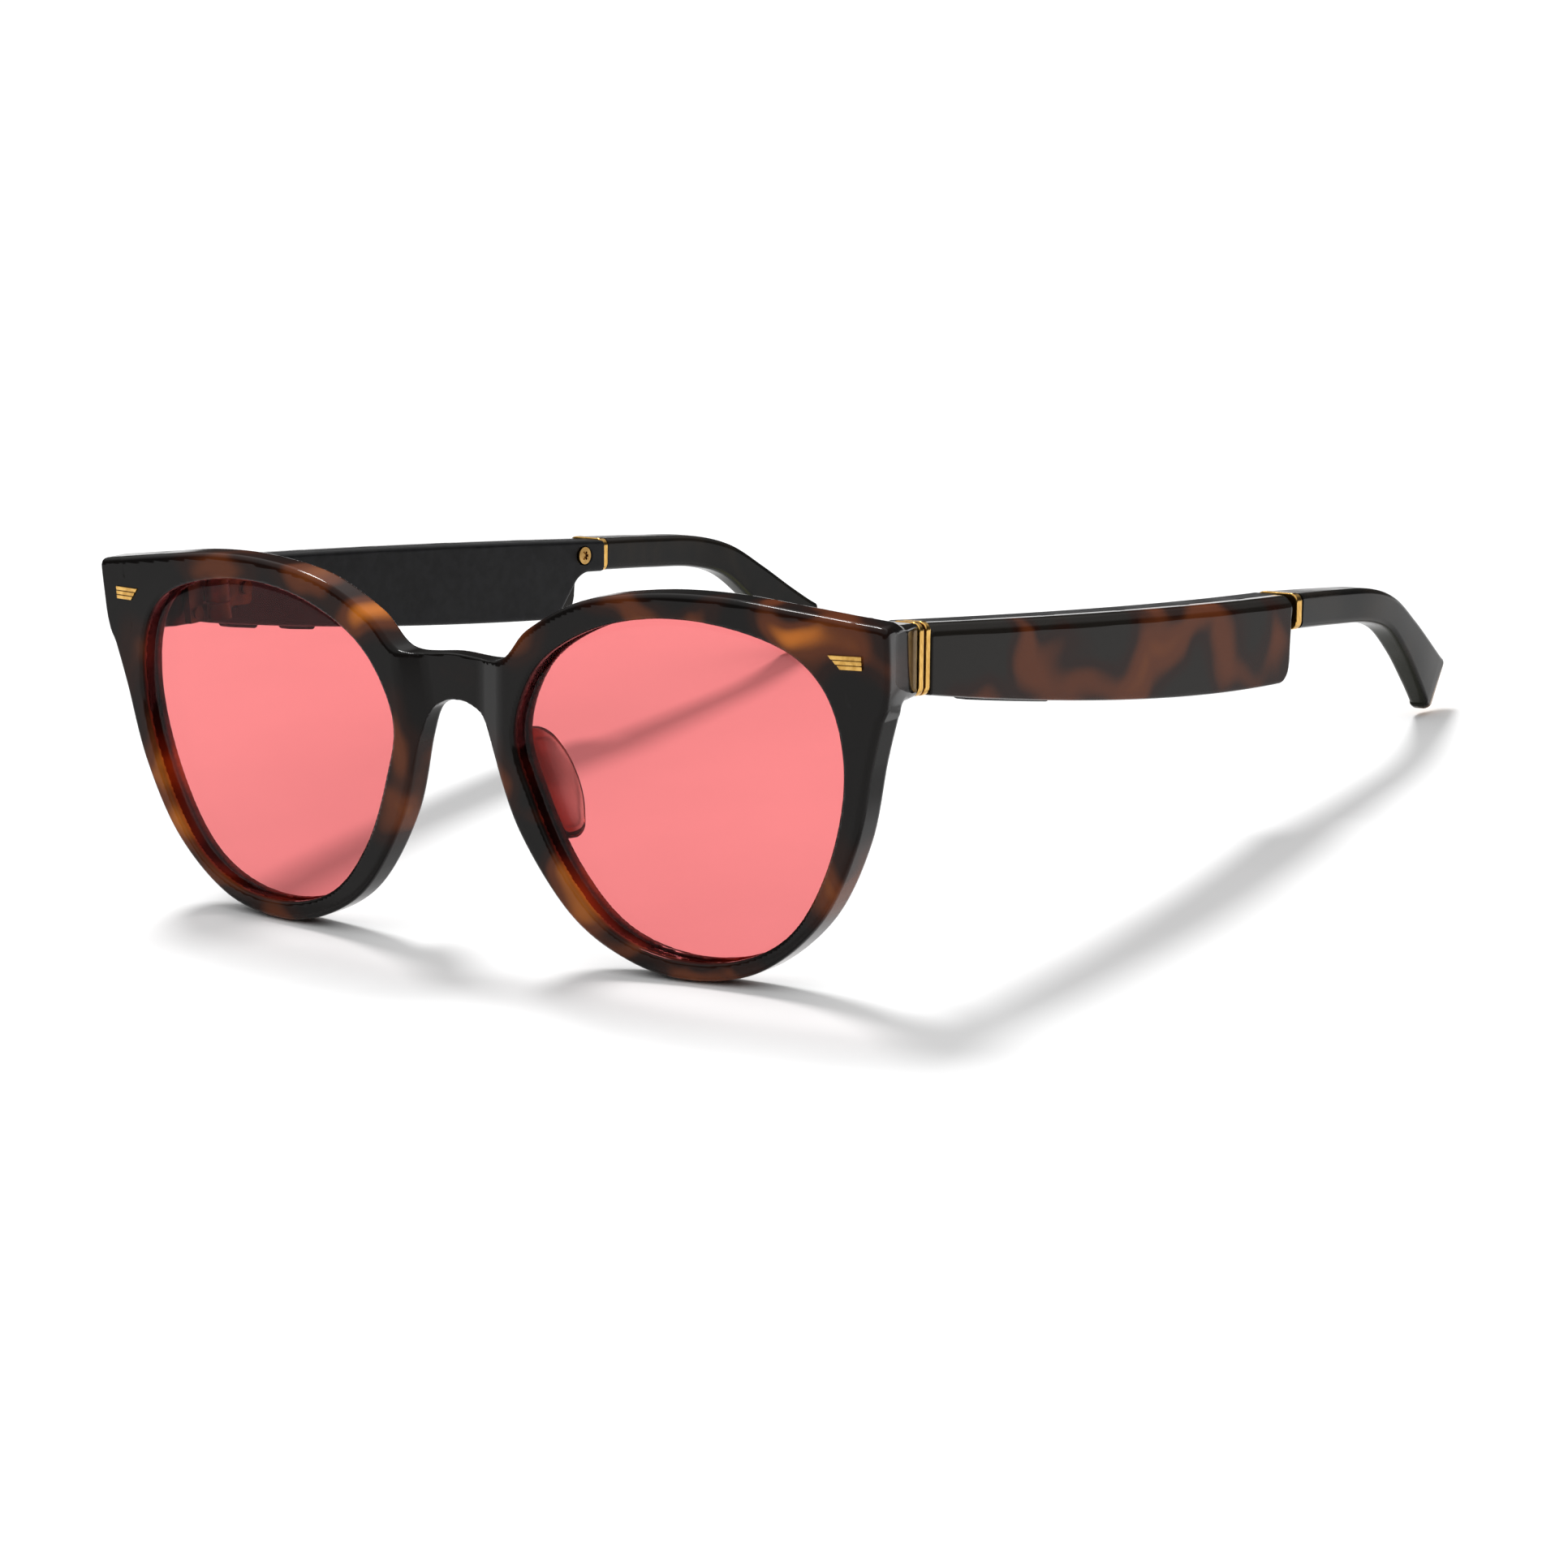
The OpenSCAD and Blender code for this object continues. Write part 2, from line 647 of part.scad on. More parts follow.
module charging_contacts() color("gold") stand() side(left) for (d = contact_offsets)
    rod_x(contact_face - 0.2, contact_face + 0.45, contact_y + d, contact_z, contact_r);
module status_light() color("white") stand() side(left)
    rod_x(outer_x(light_y) - temple_thickness - 0.03, outer_x(light_y) - temple_thickness + wall,
        light_y, light_z, light_r);

// Tips -------------------------------------------------------------------

tip_curve = open_curve(tip_line, 5);
tip_size_curve = open_curve([for (i = [0:len(tip_line) - 1]) [tip_widths[i], tip_heights[i]]], 5);
core_curve = open_curve(core_points, 5);
function path_dir(p, i) = unit(p[min(i + 1, len(p) - 1)] - p[max(i - 1, 0)]);
// A section square to the line, given as points across and up
function section_at(centre, dir, points) = let (
        across = unit(cross(dir, [0, 0, 1])),
        up = cross(across, dir)
    ) [for (q = points) centre + q[0] * across + q[1] * up];
function round_rect(w, h, r) = [
    for (c = [[1, 1, 0], [-1, 1, 90], [-1, -1, 180], [1, -1, 270]]) for (a = [0, 30, 60, 90])
        [c[0] * (w / 2 - r) + r * cos(c[2] + a), c[1] * (h / 2 - r) + r * sin(c[2] + a)]
];
function ring_of(r, n) = [for (i = [0:n - 1]) r * [cos(360 * (i + 0.5) / n), sin(360 * (i + 0.5) / n)]];
function core_rows(r) = [
    for (i = [0:len(core_curve) - 1]) section_at(core_curve[i], path_dir(core_curve, i), ring_of(r, 12))
];
module tip(s) color([0.2, 0.17, 0.14]) stand() side(s) difference() {
    loft([for (i = [0:len(tip_curve) - 1]) section_at(tip_curve[i], path_dir(tip_curve, i),
        round_rect(tip_size_curve[i][0], tip_size_curve[i][1], tip_corner))]);
    loft(core_rows(core_r + 0.03));
}

// Core wire with a flat tang that the temple screw holds
module tip_core(s) color("goldenrod") stand() side(s) {
    difference() {
        block([tang_x - 0.9, tang_start, 9.85], [tang_x + 0.9, housing_end - 0.4, 12.6]);
        rod_x(50, 75, tip_screw_y, tip_screw_z, 0.6);
    }
    loft(core_rows(core_r));
}

module tip_ring(s) color("gold") stand() side(s) difference() {
    soft_box_y(tip_line[0][0] - 3.35, tip_line[0][0] + 3.35, tip_line[0][2] - 2.5, tip_line[0][2] + 2.5,
        housing_end + 0.02, tip_line[0][1] - tip_gap, ring_corner);
    along_y(90, 100) translate([tang_x, tip_line[0][2]]) circle(r = core_r + 0.03);
}

module tip_screw(s) color("gold") stand() side(s) {
    face_x = outer_x(tip_screw_y) - temple_thickness;
    difference() {
        rod_x(face_x - 0.1, face_x + 0.5, tip_screw_y, tip_screw_z, 1.3);
        for (a = [0, 60, 120]) translate([face_x - 0.2, tip_screw_y, tip_screw_z]) rotate([a, 0, 0])
            block([0, -0.7, -0.2], [0.4, 0.7, 0.2]);
    }
    rod_x(face_x + 0.45, tang_x + 0.8, tip_screw_y, tip_screw_z, 0.57);
}

front_frame();
lens(left);  // lens_left
lens(right);  // lens_right
nose_pad(left);  // nose_pad_left
nose_pad(right);  // nose_pad_right
plaque(left);  // plaque_left
plaque(right);  // plaque_right
front_ring(left);  // front_ring_left
front_ring(right);  // front_ring_right
front_hinge_leaf(left);  // front_hinge_leaf_left
front_hinge_leaf(right);  // front_hinge_leaf_right
front_leaf_rivets();
hinge_screw(left);  // hinge_screw_left
hinge_screw(right);  // hinge_screw_right
temple_ring(left);  // temple_ring_left
temple_ring(right);  // temple_ring_right
temple_hinge_leaf(left);  // temple_hinge_leaf_left
temple_hinge_leaf(right);  // temple_hinge_leaf_right
temple_leaf_screws(left);  // temple_leaf_screws_left
temple_leaf_screws(right);  // temple_leaf_screws_right
outer_cover(left);  // outer_cover_left
outer_cover(right);  // outer_cover_right
inner_housing(left);  // inner_housing_left
inner_housing(right);  // inner_housing_right
circuit_board(left);  // circuit_board_left
circuit_board(right);  // circuit_board_right
battery(left);  // battery_left
battery(right);  // battery_right
speaker(left);  // speaker_left
speaker(right);  // speaker_right
speaker_mesh(left);  // speaker_mesh_left
speaker_mesh(right);  // speaker_mesh_right
microphone(left);  // microphone_left
microphone(right);  // microphone_right
volume_switches();
action_switches();
volume_rocker();
action_button();
mute_button();
charging_plate();
charging_contacts();
status_light();
tip_ring(left);  // tip_ring_left
tip_ring(right);  // tip_ring_right
tip_core(left);  // tip_core_left
tip_core(right);  // tip_core_right
tip_screw(left);  // tip_screw_left
tip_screw(right);  // tip_screw_right
tip(left);  // tip_left
tip(right);  // tip_right
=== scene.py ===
"""Smart glasses: a tortoiseshell front with coral lenses on two temples with black housings.

Lengths are in millimetres until placed() turns them into metres. The worn frame has its origin in the
middle of the bridge's front face; the front's own frame is (across, depth, up) on the wrapped plate;
a temple's own frame is (depth below its outer face, back, up).
"""
import math

import bmesh
import bpy
import numpy as np
from mathutils import Matrix, Vector


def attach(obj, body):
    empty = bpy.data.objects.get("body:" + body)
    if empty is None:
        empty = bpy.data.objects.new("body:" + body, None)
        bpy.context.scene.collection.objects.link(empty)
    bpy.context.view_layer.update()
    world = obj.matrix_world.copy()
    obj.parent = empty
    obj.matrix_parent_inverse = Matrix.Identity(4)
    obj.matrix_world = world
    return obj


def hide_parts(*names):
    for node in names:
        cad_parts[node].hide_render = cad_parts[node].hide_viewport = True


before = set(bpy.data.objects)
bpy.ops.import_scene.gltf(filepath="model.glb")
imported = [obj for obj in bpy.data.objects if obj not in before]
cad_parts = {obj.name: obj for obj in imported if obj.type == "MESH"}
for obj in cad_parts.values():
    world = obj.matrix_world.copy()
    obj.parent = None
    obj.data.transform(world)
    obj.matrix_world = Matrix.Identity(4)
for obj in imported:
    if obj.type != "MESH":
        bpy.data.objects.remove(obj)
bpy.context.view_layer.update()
COARSE = 1.0
MM = 0.001
LEFT, RIGHT = 1, -1
NAMES = {LEFT: "left", RIGHT: "right"}

# ---- Driving sizes, the same as the frame's -----------------------------------------------------
STAND_TILT = math.radians(10.07)
STAND_HEIGHT = 31.88
STAND_MIDDLE = 72.19
FRONT_LEAN = math.radians(6.53)
WRAP_R = 490.0
FRONT_T = 4.2
BRIDGE_RECESS = 1.3
STEP_HALF, STEP_GROWTH, STEP_SLANT = 8.6, 0.09, 4.2
LENS_DEPTH, LENS_T = 1.2, 2.0
GROOVE_REACH = 0.6
OPENING_INSET = 0.35
ENDPIECE_FRONT, ENDPIECE_BACK = 3.0, 13.0
HALF_WIDTH = 66.0
BOW, BOW_START, BOW_LENGTH = 3.8, 14.0, 85.0
TEMPLE_T, COVER_T = 7.2, 3.0
TEMPLE_START = 15.33
TEMPLE_TOP, TOP_FALL = 15.4, 0.0235
NECK_SLOPE = 1.525
COVER_END, HOUSING_END = 96.5, 97.55
WALL = 1.2
FIT = 0.04

OPENING = [
    (10.3, -1.5), (12.4, -10), (17, -19.2), (24, -26.3), (33.5, -29.3), (44, -28.6),
    (52.5, -24.2), (58.4, -15.4), (61.5, -4.5), (60.5, 5), (55.6, 11.2), (46.2, 14.4),
    (34.8, 15.1), (23.8, 12.8), (14.8, 7.4),
]
BROW = [(8.7, 7.7), (14, 12.1), (22.8, 16.2), (33.6, 17.9), (44.4, 18), (56, 16.8), (67.4, 15.4)]
TEMPLE_EDGE = [(68.5, 15), (68.9, 13.8), (68.6, 8.3), (68, 5.6)]
CHEEK = [
    (67, 3.6), (65.2, -2), (62.2, -12.6), (56.3, -22.6), (46.8, -29.6), (36, -31.6),
    (26.5, -29.9), (17.8, -24.8), (10.3, -14.7), (6.5, -4.2), (4.6, -0.2), (2.4, 1.2), (0.8, 1.6),
]
BRIDGE_TOP, BRIDGE_UNDERSIDE = 7.8, 1.6


# ---- Lines ---------------------------------------------------------------------------------------
def curve_at(a, b, c, d, t):
    return (b + (c - a) * t / 2 + (2 * a - 5 * b + 4 * c - d) * t * t / 2
            + (3 * b - 3 * c + d - a) * t**3 / 2)


def closed_curve(points, n):
    p = np.array(points, float)
    m = len(p)
    return np.array([curve_at(p[i - 1], p[i], p[(i + 1) % m], p[(i + 2) % m], k / n)
                     for i in range(m) for k in range(n)])


def open_curve(points, n):
    p = np.array(points, float)
    m = len(p)
    rows = [curve_at(p[max(i - 1, 0)], p[i], p[i + 1], p[min(i + 2, m - 1)], k / n)
            for i in range(m - 1) for k in range(n)]
    return np.array(rows + [p[-1]])


def grown(points, amount):
    """A closed outline, drawn counter-clockwise, moved outward."""
    along = np.roll(points, -1, 0) - np.roll(points, 1, 0)
    along /= np.linalg.norm(along, axis=1)[:, None]
    return points + amount * np.stack([along[:, 1], -along[:, 0]], 1)


class Outline:
    """Signed distance to a flat line of short stretches: negative on the left of its direction.

    A grid holds the nearest stretch for each place, and only its neighbours are measured.
    """

    REACH = 4

    def __init__(self, points, closed, spacing=0.5, margin=3.0):
        points = np.array(points, float)
        self.closed = closed
        self.start = points if closed else points[:-1]
        self.run = (np.roll(points, -1, 0) if closed else points[1:]) - self.start
        self.squared = (self.run**2).sum(1)
        side = np.stack([self.run[:, 1], -self.run[:, 0]], 1) / np.sqrt(self.squared)[:, None]
        before, after = np.roll(side, 1, 0), np.roll(side, -1, 0)
        if not closed:
            before[0], after[-1] = side[0], side[-1]
        self.normals = np.stack([side + before, side, side + after])
        self.low = points.min(0) - margin
        self.spacing = spacing
        count = np.ceil((points.max(0) + margin - self.low) / spacing).astype(int) + 1
        steps = np.stack(np.meshgrid(*[np.arange(c) for c in count], indexing="ij"), -1)
        flat = (self.low + steps * spacing).reshape(-1, 2)
        nearest = np.zeros(len(flat), int)
        for k in range(0, len(flat), 20000):
            part = flat[k:k + 20000, None]
            t = (((part - self.start) * self.run).sum(2) / self.squared).clip(0, 1)
            gap = part - self.start - t[..., None] * self.run
            nearest[k:k + 20000] = (gap**2).sum(2).argmin(1)
        self.nearest = nearest.reshape(count)

    def distance(self, x, y):
        x, y = np.broadcast_arrays(x, y)
        shape = x.shape
        p = np.stack([x.ravel(), y.ravel()], 1)
        cell = np.rint((p - self.low) / self.spacing).astype(int)
        cell = cell.clip(0, np.array(self.nearest.shape) - 1)
        first = self.nearest[cell[:, 0], cell[:, 1]]
        best = np.full(len(p), np.inf)
        sign = np.ones(len(p))
        for shift in range(-self.REACH, self.REACH + 1):
            i = first + shift
            i = i % len(self.start) if self.closed else i.clip(0, len(self.start) - 1)
            off = p - self.start[i]
            t = ((off * self.run[i]).sum(1) / self.squared[i]).clip(0, 1)
            gap = off - t[:, None] * self.run[i]
            far = (gap**2).sum(1)
            which = np.where(t <= 0, 0, np.where(t >= 1, 2, 1))
            better = far < best
            best = np.where(better, far, best)
            sign = np.where(better, np.sign((gap * self.normals[which, i]).sum(1)), sign)
        return (np.sqrt(best) * np.where(sign < 0, -1, 1)).reshape(shape)


def smooth(t):
    t = np.clip(t, 0, 1)
    return t * t * (3 - 2 * t)


# ---- Solid shapes as distance fields, negative inside ----------------------------------------------
def both(a, b, r):
    """What is in both shapes, with the edge between them rounded."""
    return np.minimum(-r, np.maximum(a, b)) + np.hypot(np.maximum(a + r, 0), np.maximum(b + r, 0))


def either(a, b, r):
    """What is in either shape, with a fillet between them."""
    return np.maximum(r, np.minimum(a, b)) - np.hypot(np.maximum(r - a, 0), np.maximum(r - b, 0))


def without(a, b, r):
    return both(a, -b, r)


def bevelled(a, b, width, r):
    return both(both(a, b, r), (a + b + width) * math.sqrt(0.5), r)


def slab(a, low, high):
    return np.abs(a - (low + high) / 2) - (high - low) / 2


def round_rect(a, b, centre, size, r):
    qa = np.abs(a - centre[0]) - size[0] / 2 + r
    qb = np.abs(b - centre[1]) - size[1] / 2 + r
    return np.hypot(np.maximum(qa, 0), np.maximum(qb, 0)) + np.minimum(np.maximum(qa, qb), 0) - r


def line(a, b, start, end):
    """Distance to the right of a line from start to end."""
    run = np.array(end, float) - start
    run /= np.linalg.norm(run)
    return (a - start[0]) * run[1] - (b - start[1]) * run[0]


def slope_of(field, p, h=0.004):
    return np.stack([(field(*(p + h * e).T) - field(*(p - h * e).T)) / (2 * h) for e in np.eye(3)], 1)


def crossings(values, cells):
    """The mean point where the surface crosses the edges of each cell."""
    total, count = np.zeros((len(cells), 3)), np.zeros(len(cells))
    for a in np.ndindex(2, 2, 2):
        for axis in range(3):
            if a[axis]:
                continue
            b = np.array(a)
            b[axis] = 1
            va, vb = values[tuple((cells + a).T)], values[tuple((cells + b).T)]
            cut = (va < 0) != (vb < 0)
            point = cells + np.array(a, float)
            point[:, axis] += np.where(cut, va / np.where(cut, va - vb, 1), 0)
            total += np.where(cut[:, None], point, 0)
            count += cut
    return total / count[:, None]


def skin(field, low, high, step):
    """A field's surface inside a box: its points, their outward directions and four-sided faces."""
    step = np.array(step, float) * COARSE
    low = np.array(low, float)
    sizes = np.ceil((np.array(high, float) - low) / step).astype(int) + 1
    grid = np.meshgrid(*[low[k] + np.arange(sizes[k]) * step[k] for k in range(3)],
                       indexing="ij", sparse=True)
    values = np.broadcast_to(field(*grid), sizes)
    inside = values < 0
    some, every = np.zeros(sizes - 1, bool), np.ones(sizes - 1, bool)
    for i, j, k in np.ndindex(2, 2, 2):
        part = inside[i:i + sizes[0] - 1, j:j + sizes[1] - 1, k:k + sizes[2] - 1]
        some |= part
        every &= part
    cells = np.argwhere(some & ~every)
    number = np.full(sizes - 1, -1)
    number[tuple(cells.T)] = np.arange(len(cells))
    points = low + crossings(values, cells) * step
    faces = []
    for axis in range(3):
        here = np.take(inside, range(sizes[axis] - 1), axis)
        there = np.take(inside, range(1, sizes[axis]), axis)
        u, w = np.eye(3, dtype=int)[(axis + 1) % 3], np.eye(3, dtype=int)[(axis + 2) % 3]
        for edges, order in ((np.argwhere(here & ~there), 1), (np.argwhere(~here & there), -1)):
            quad = [number[tuple((edges - k).T)] for k in (0 * u, u, u + w, w)]
            faces.append(np.stack(quad[::order], 1))
    limit = 0.4 * step.min()
    for _ in range(4):
        slope = slope_of(field, points)
        size = np.maximum((slope**2).sum(1), 0.05)
        move = -(field(*points.T) / size)[:, None] * slope
        move *= np.minimum(1, limit / np.maximum(np.linalg.norm(move, axis=1), 1e-9))[:, None]
        points = points + move
    out = slope_of(field, points)
    out /= np.maximum(np.linalg.norm(out, axis=1), 1e-9)[:, None]
    return points, out, np.concatenate(faces)


# ---- From a piece's own frame to the part's --------------------------------------------------------
def leaned(p):
    """Points of an upright front, tipped by the front's lean."""
    x, y, v = p.T
    c, s = math.cos(FRONT_LEAN), math.sin(FRONT_LEAN)
    return np.stack([x, y * c - v * s, y * s + v * c], 1)


def front_to_worn(p):
    x, d, v = p.T
    return leaned(np.stack([x, WRAP_R - np.sqrt((WRAP_R - d)**2 - x**2), v], 1))


def outer_x(y):
    t = (y - BOW_START) / BOW_LENGTH
    return HALF_WIDTH - 0.4 * t + 4 * BOW * t * (1 - t)


def top_z(y):
    return TEMPLE_TOP - TOP_FALL * (y - TEMPLE_START)


def bottom_z(y):
    return 1.85 + 4.75 * ((95 - y) / 80)**2


def temple_to_worn(p):
    d, y, z = p.T
    return np.stack([outer_x(y) - d, y, z], 1)


def as_worn(p):
    return p


def turned(p):
    """A direction in the worn frame, as it is when the glasses stand."""
    x, y, z = np.asarray(p, float).reshape(-1, 3).T
    c, s = math.cos(STAND_TILT), math.sin(STAND_TILT)
    return np.stack([x, y * c + z * s, z * c - y * s], 1)


def placed(p):
    """Points of the worn frame in the part's frame, in metres."""
    return (turned(p) + [0, -STAND_MIDDLE, STAND_HEIGHT]) * MM


def add_piece(name, points, faces, side=LEFT, normals=None, attributes=None):
    """A mesh object from points of the worn frame."""
    mirror = np.array([side, 1, 1])
    mesh = bpy.data.meshes.new(name)
    order = -1 if side == RIGHT else 1
    mesh.from_pydata(placed(points * mirror).tolist(), [], [list(f)[::order] for f in faces])
    mesh.polygons.foreach_set("use_smooth", [True] * len(mesh.polygons))
    for key, values in (attributes or {}).items():
        mesh.attributes.new(key, "FLOAT", "POINT").data.foreach_set("value", np.asarray(values, np.float32))
    mesh.update()
    if normals is not None:
        mesh.normals_split_custom_set_from_vertices(turned(normals * mirror).tolist())
    piece = bpy.data.objects.new(name, mesh)
    bpy.context.scene.collection.objects.link(piece)
    return piece


def field_piece(name, shape, to_worn, side=LEFT, attributes=None):
    points, out, faces = shape
    worn = to_worn(points)
    normals = to_worn(points + 0.01 * out) - worn
    normals /= np.linalg.norm(normals, axis=1)[:, None]
    facing = np.cross(worn[faces[:, 1]] - worn[faces[:, 0]], worn[faces[:, 3]] - worn[faces[:, 0]])
    if (facing * normals[faces[:, 0]]).sum() < 0:
        faces = faces[:, ::-1]
    return add_piece(name, worn, faces.tolist(), side, normals, attributes)


def loft_faces(rows, n):
    """Faces of a closed skin over rows of n points, with flat ends."""
    faces = [list(range(n))[::-1]]
    for i in range(rows - 1):
        for j in range(n):
            k = (j + 1) % n
            faces.append([i * n + j, i * n + k, (i + 1) * n + k, (i + 1) * n + j])
    faces.append([(rows - 1) * n + j for j in range(n)])
    return faces


def sharpen(piece, angle):
    """Smooth shading that stops at edges steeper than the angle."""
    mesh = piece.data
    bm = bmesh.new()
    bm.from_mesh(mesh)
    bmesh.ops.recalc_face_normals(bm, faces=bm.faces)
    for edge in bm.edges:
        edge.smooth = len(edge.link_faces) == 2 and edge.calc_face_angle(0) < math.radians(angle)
    bm.to_mesh(mesh)
    bm.free()


def bevel(piece, width, angle=30):
    """Rounds a piece's hard edges with a modifier."""
    rounder = piece.modifiers.new("edge", "BEVEL")
    rounder.width = width * MM
    rounder.segments = 2
    rounder.limit_method = "ANGLE"
    rounder.angle_limit = math.radians(angle)
    rounder.harden_normals = True


def finish_piece(piece, body, node, slot, materials):
    piece.data.materials.clear()
    piece.data.materials.append(materials[slot])
    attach(piece, body)
    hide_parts(node)


# ---- Materials -----------------------------------------------------------------------------------
def new_material(name):
    material = bpy.data.materials.new(name)
    material.use_nodes = True
    tree = material.node_tree
    return material, tree, tree.nodes["Principled BSDF"]


def add(tree, kind, **settings):
    node = tree.nodes.new(kind)
    for key, value in settings.items():
        if key in ("operation", "feature", "attribute_name"):
            setattr(node, key, value)
        else:
            node.inputs[key.replace("_", " ")].default_value = value
    return node


def object_coords(tree, scale=(1, 1, 1)):
    place = add(tree, "ShaderNodeMapping", Scale=scale)
    source = tree.nodes.new("ShaderNodeTexCoord")
    tree.links.new(source.outputs["Object"], place.inputs["Vector"])
    return place.outputs["Vector"]


def noise(tree, coords, scale, detail=3.0, rough=0.5, warp=0.0):
    node = add(tree, "ShaderNodeTexNoise", Scale=scale, Detail=detail, Roughness=rough, Distortion=warp)
    tree.links.new(coords, node.inputs["Vector"])
    return node.outputs["Fac"]


def ramp(tree, value, stops):
    node = tree.nodes.new("ShaderNodeValToRGB")
    node.color_ramp.interpolation = "EASE"
    while len(node.color_ramp.elements) < len(stops):
        node.color_ramp.elements.new(0.5)
    for element, (at, colour) in zip(node.color_ramp.elements, stops):
        element.position = at
        element.color = (*colour, 1)
    tree.links.new(value, node.inputs["Fac"])
    return node.outputs["Color"]


def remap(tree, value, low, high, out_low, out_high, kind="LINEAR"):
    node = tree.nodes.new("ShaderNodeMapRange")
    node.interpolation_type = kind
    for key, number in (("From Min", low), ("From Max", high), ("To Min", out_low), ("To Max", out_high)):
        node.inputs[key].default_value = number
    tree.links.new(value, node.inputs["Value"])
    return node.outputs["Result"]


def mixed(tree, factor, a, b):
    node = tree.nodes.new("ShaderNodeMix")
    node.data_type = "RGBA"
    tree.links.new(factor, node.inputs["Factor"])
    for socket, value in ((node.inputs[6], a), (node.inputs[7], b)):
        if isinstance(value, tuple):
            socket.default_value = (*value, 1)
        else:
            tree.links.new(value, socket)
    return node.outputs[2]


def maths(tree, operation, a, b):
    node = tree.nodes.new("ShaderNodeMath")
    node.operation = operation
    for socket, value in zip(node.inputs, (a, b)):
        if isinstance(value, (int, float)):
            socket.default_value = value
        else:
            tree.links.new(value, socket)
    return node.outputs[0]


def bumped(tree, shader, height, strength, distance):
    node = add(tree, "ShaderNodeBump", Strength=strength, Distance=distance)
    tree.links.new(height, node.inputs["Height"])
    tree.links.new(node.outputs["Normal"], shader.inputs["Normal"])


def attribute(tree, name):
    return add(tree, "ShaderNodeAttribute", attribute_name=name).outputs["Fac"]


def surface(name, dark, light, rough, metal=0.0, scale=600, stretch=(1, 1, 1), grain=0.15,
            depth=0.00002, gloss=0.5):
    """A plain finish: two close colours in a fine noise, with uneven gloss and a slight grain."""
    material, tree, shader = new_material(name)
    coords = object_coords(tree, stretch)
    fine = noise(tree, coords, scale, 4)
    tree.links.new(ramp(tree, fine, [(0.3, dark), (0.7, light)]), shader.inputs["Base Color"])
    coarse = noise(tree, coords, scale * 0.2, 3)
    tree.links.new(remap(tree, coarse, 0.3, 0.7, *rough), shader.inputs["Roughness"])
    shader.inputs["Metallic"].default_value = metal
    shader.inputs["Specular IOR Level"].default_value = gloss
    bumped(tree, shader, fine, grain, depth)
    return material


BEND = 0.011


def bent_coords(tree, coords):
    """Coordinates moved about by a slow noise, which gives round spots uneven edges."""
    drift = add(tree, "ShaderNodeTexNoise", Scale=95.0, Detail=1.0, Roughness=0.45)
    tree.links.new(coords, drift.inputs["Vector"])
    bent = add(tree, "ShaderNodeVectorMath", operation="MULTIPLY_ADD")
    bent.inputs[1].default_value = (BEND, BEND, BEND)
    tree.links.new(drift.outputs["Color"], bent.inputs[0])
    tree.links.new(coords, bent.inputs[2])
    return bent.outputs["Vector"]


def with_spots(tree, amount, coords, spots):
    """An amount between 0 and 1 with soft spots (centre, half sizes, strength) blended into it."""
    for centre, size, strength in spots:
        scale = [1 / (k * MM) for k in size]
        shift = [-(c + BEND / 2) * k for c, k in zip(centre, scale)]
        place = add(tree, "ShaderNodeMapping", Scale=scale, Location=shift)
        tree.links.new(coords, place.inputs["Vector"])
        gap = add(tree, "ShaderNodeVectorMath", operation="LENGTH")
        tree.links.new(place.outputs["Vector"], gap.inputs[0])
        spot = remap(tree, gap.outputs["Value"], 1.35, 0, 0, strength, "SMOOTHSTEP")
        shared = maths(tree, "MULTIPLY", amount, spot)
        amount = maths(tree, "SUBTRACT", maths(tree, "ADD", amount, spot), shared)
    return amount


def tortoiseshell(name, spots, rarity, base):
    """Near-black acetate with soft amber and brown clouds, warmer on the walls round the lenses."""
    material, tree, shader = new_material(name)
    coords = object_coords(tree)
    clouds = remap(tree, noise(tree, coords, 80, 2, 0.4, 0.6), *rarity, 0, 0.7, "SMOOTHSTEP")
    amount = with_spots(tree, clouds, bent_coords(tree, coords), spots)
    outer = ramp(tree, amount, [
        (0.0, base), (0.25, (0.02, 0.007, 0.0045)), (0.55, (0.12, 0.03, 0.009)), (1.0, (0.62, 0.18, 0.02)),
    ])
    inner = ramp(tree, amount, [
        (0.0, (0.04, 0.005, 0.004)), (0.5, (0.17, 0.018, 0.008)), (1.0, (0.7, 0.16, 0.02)),
    ])
    tree.links.new(mixed(tree, attribute(tree, "wall"), outer, inner), shader.inputs["Base Color"])
    polish = noise(tree, coords, 130, 2, 0.5)
    tree.links.new(remap(tree, polish, 0.3, 0.7, 0.06, 0.1), shader.inputs["Roughness"])
    shader.inputs["Specular IOR Level"].default_value = 0.13
    return material


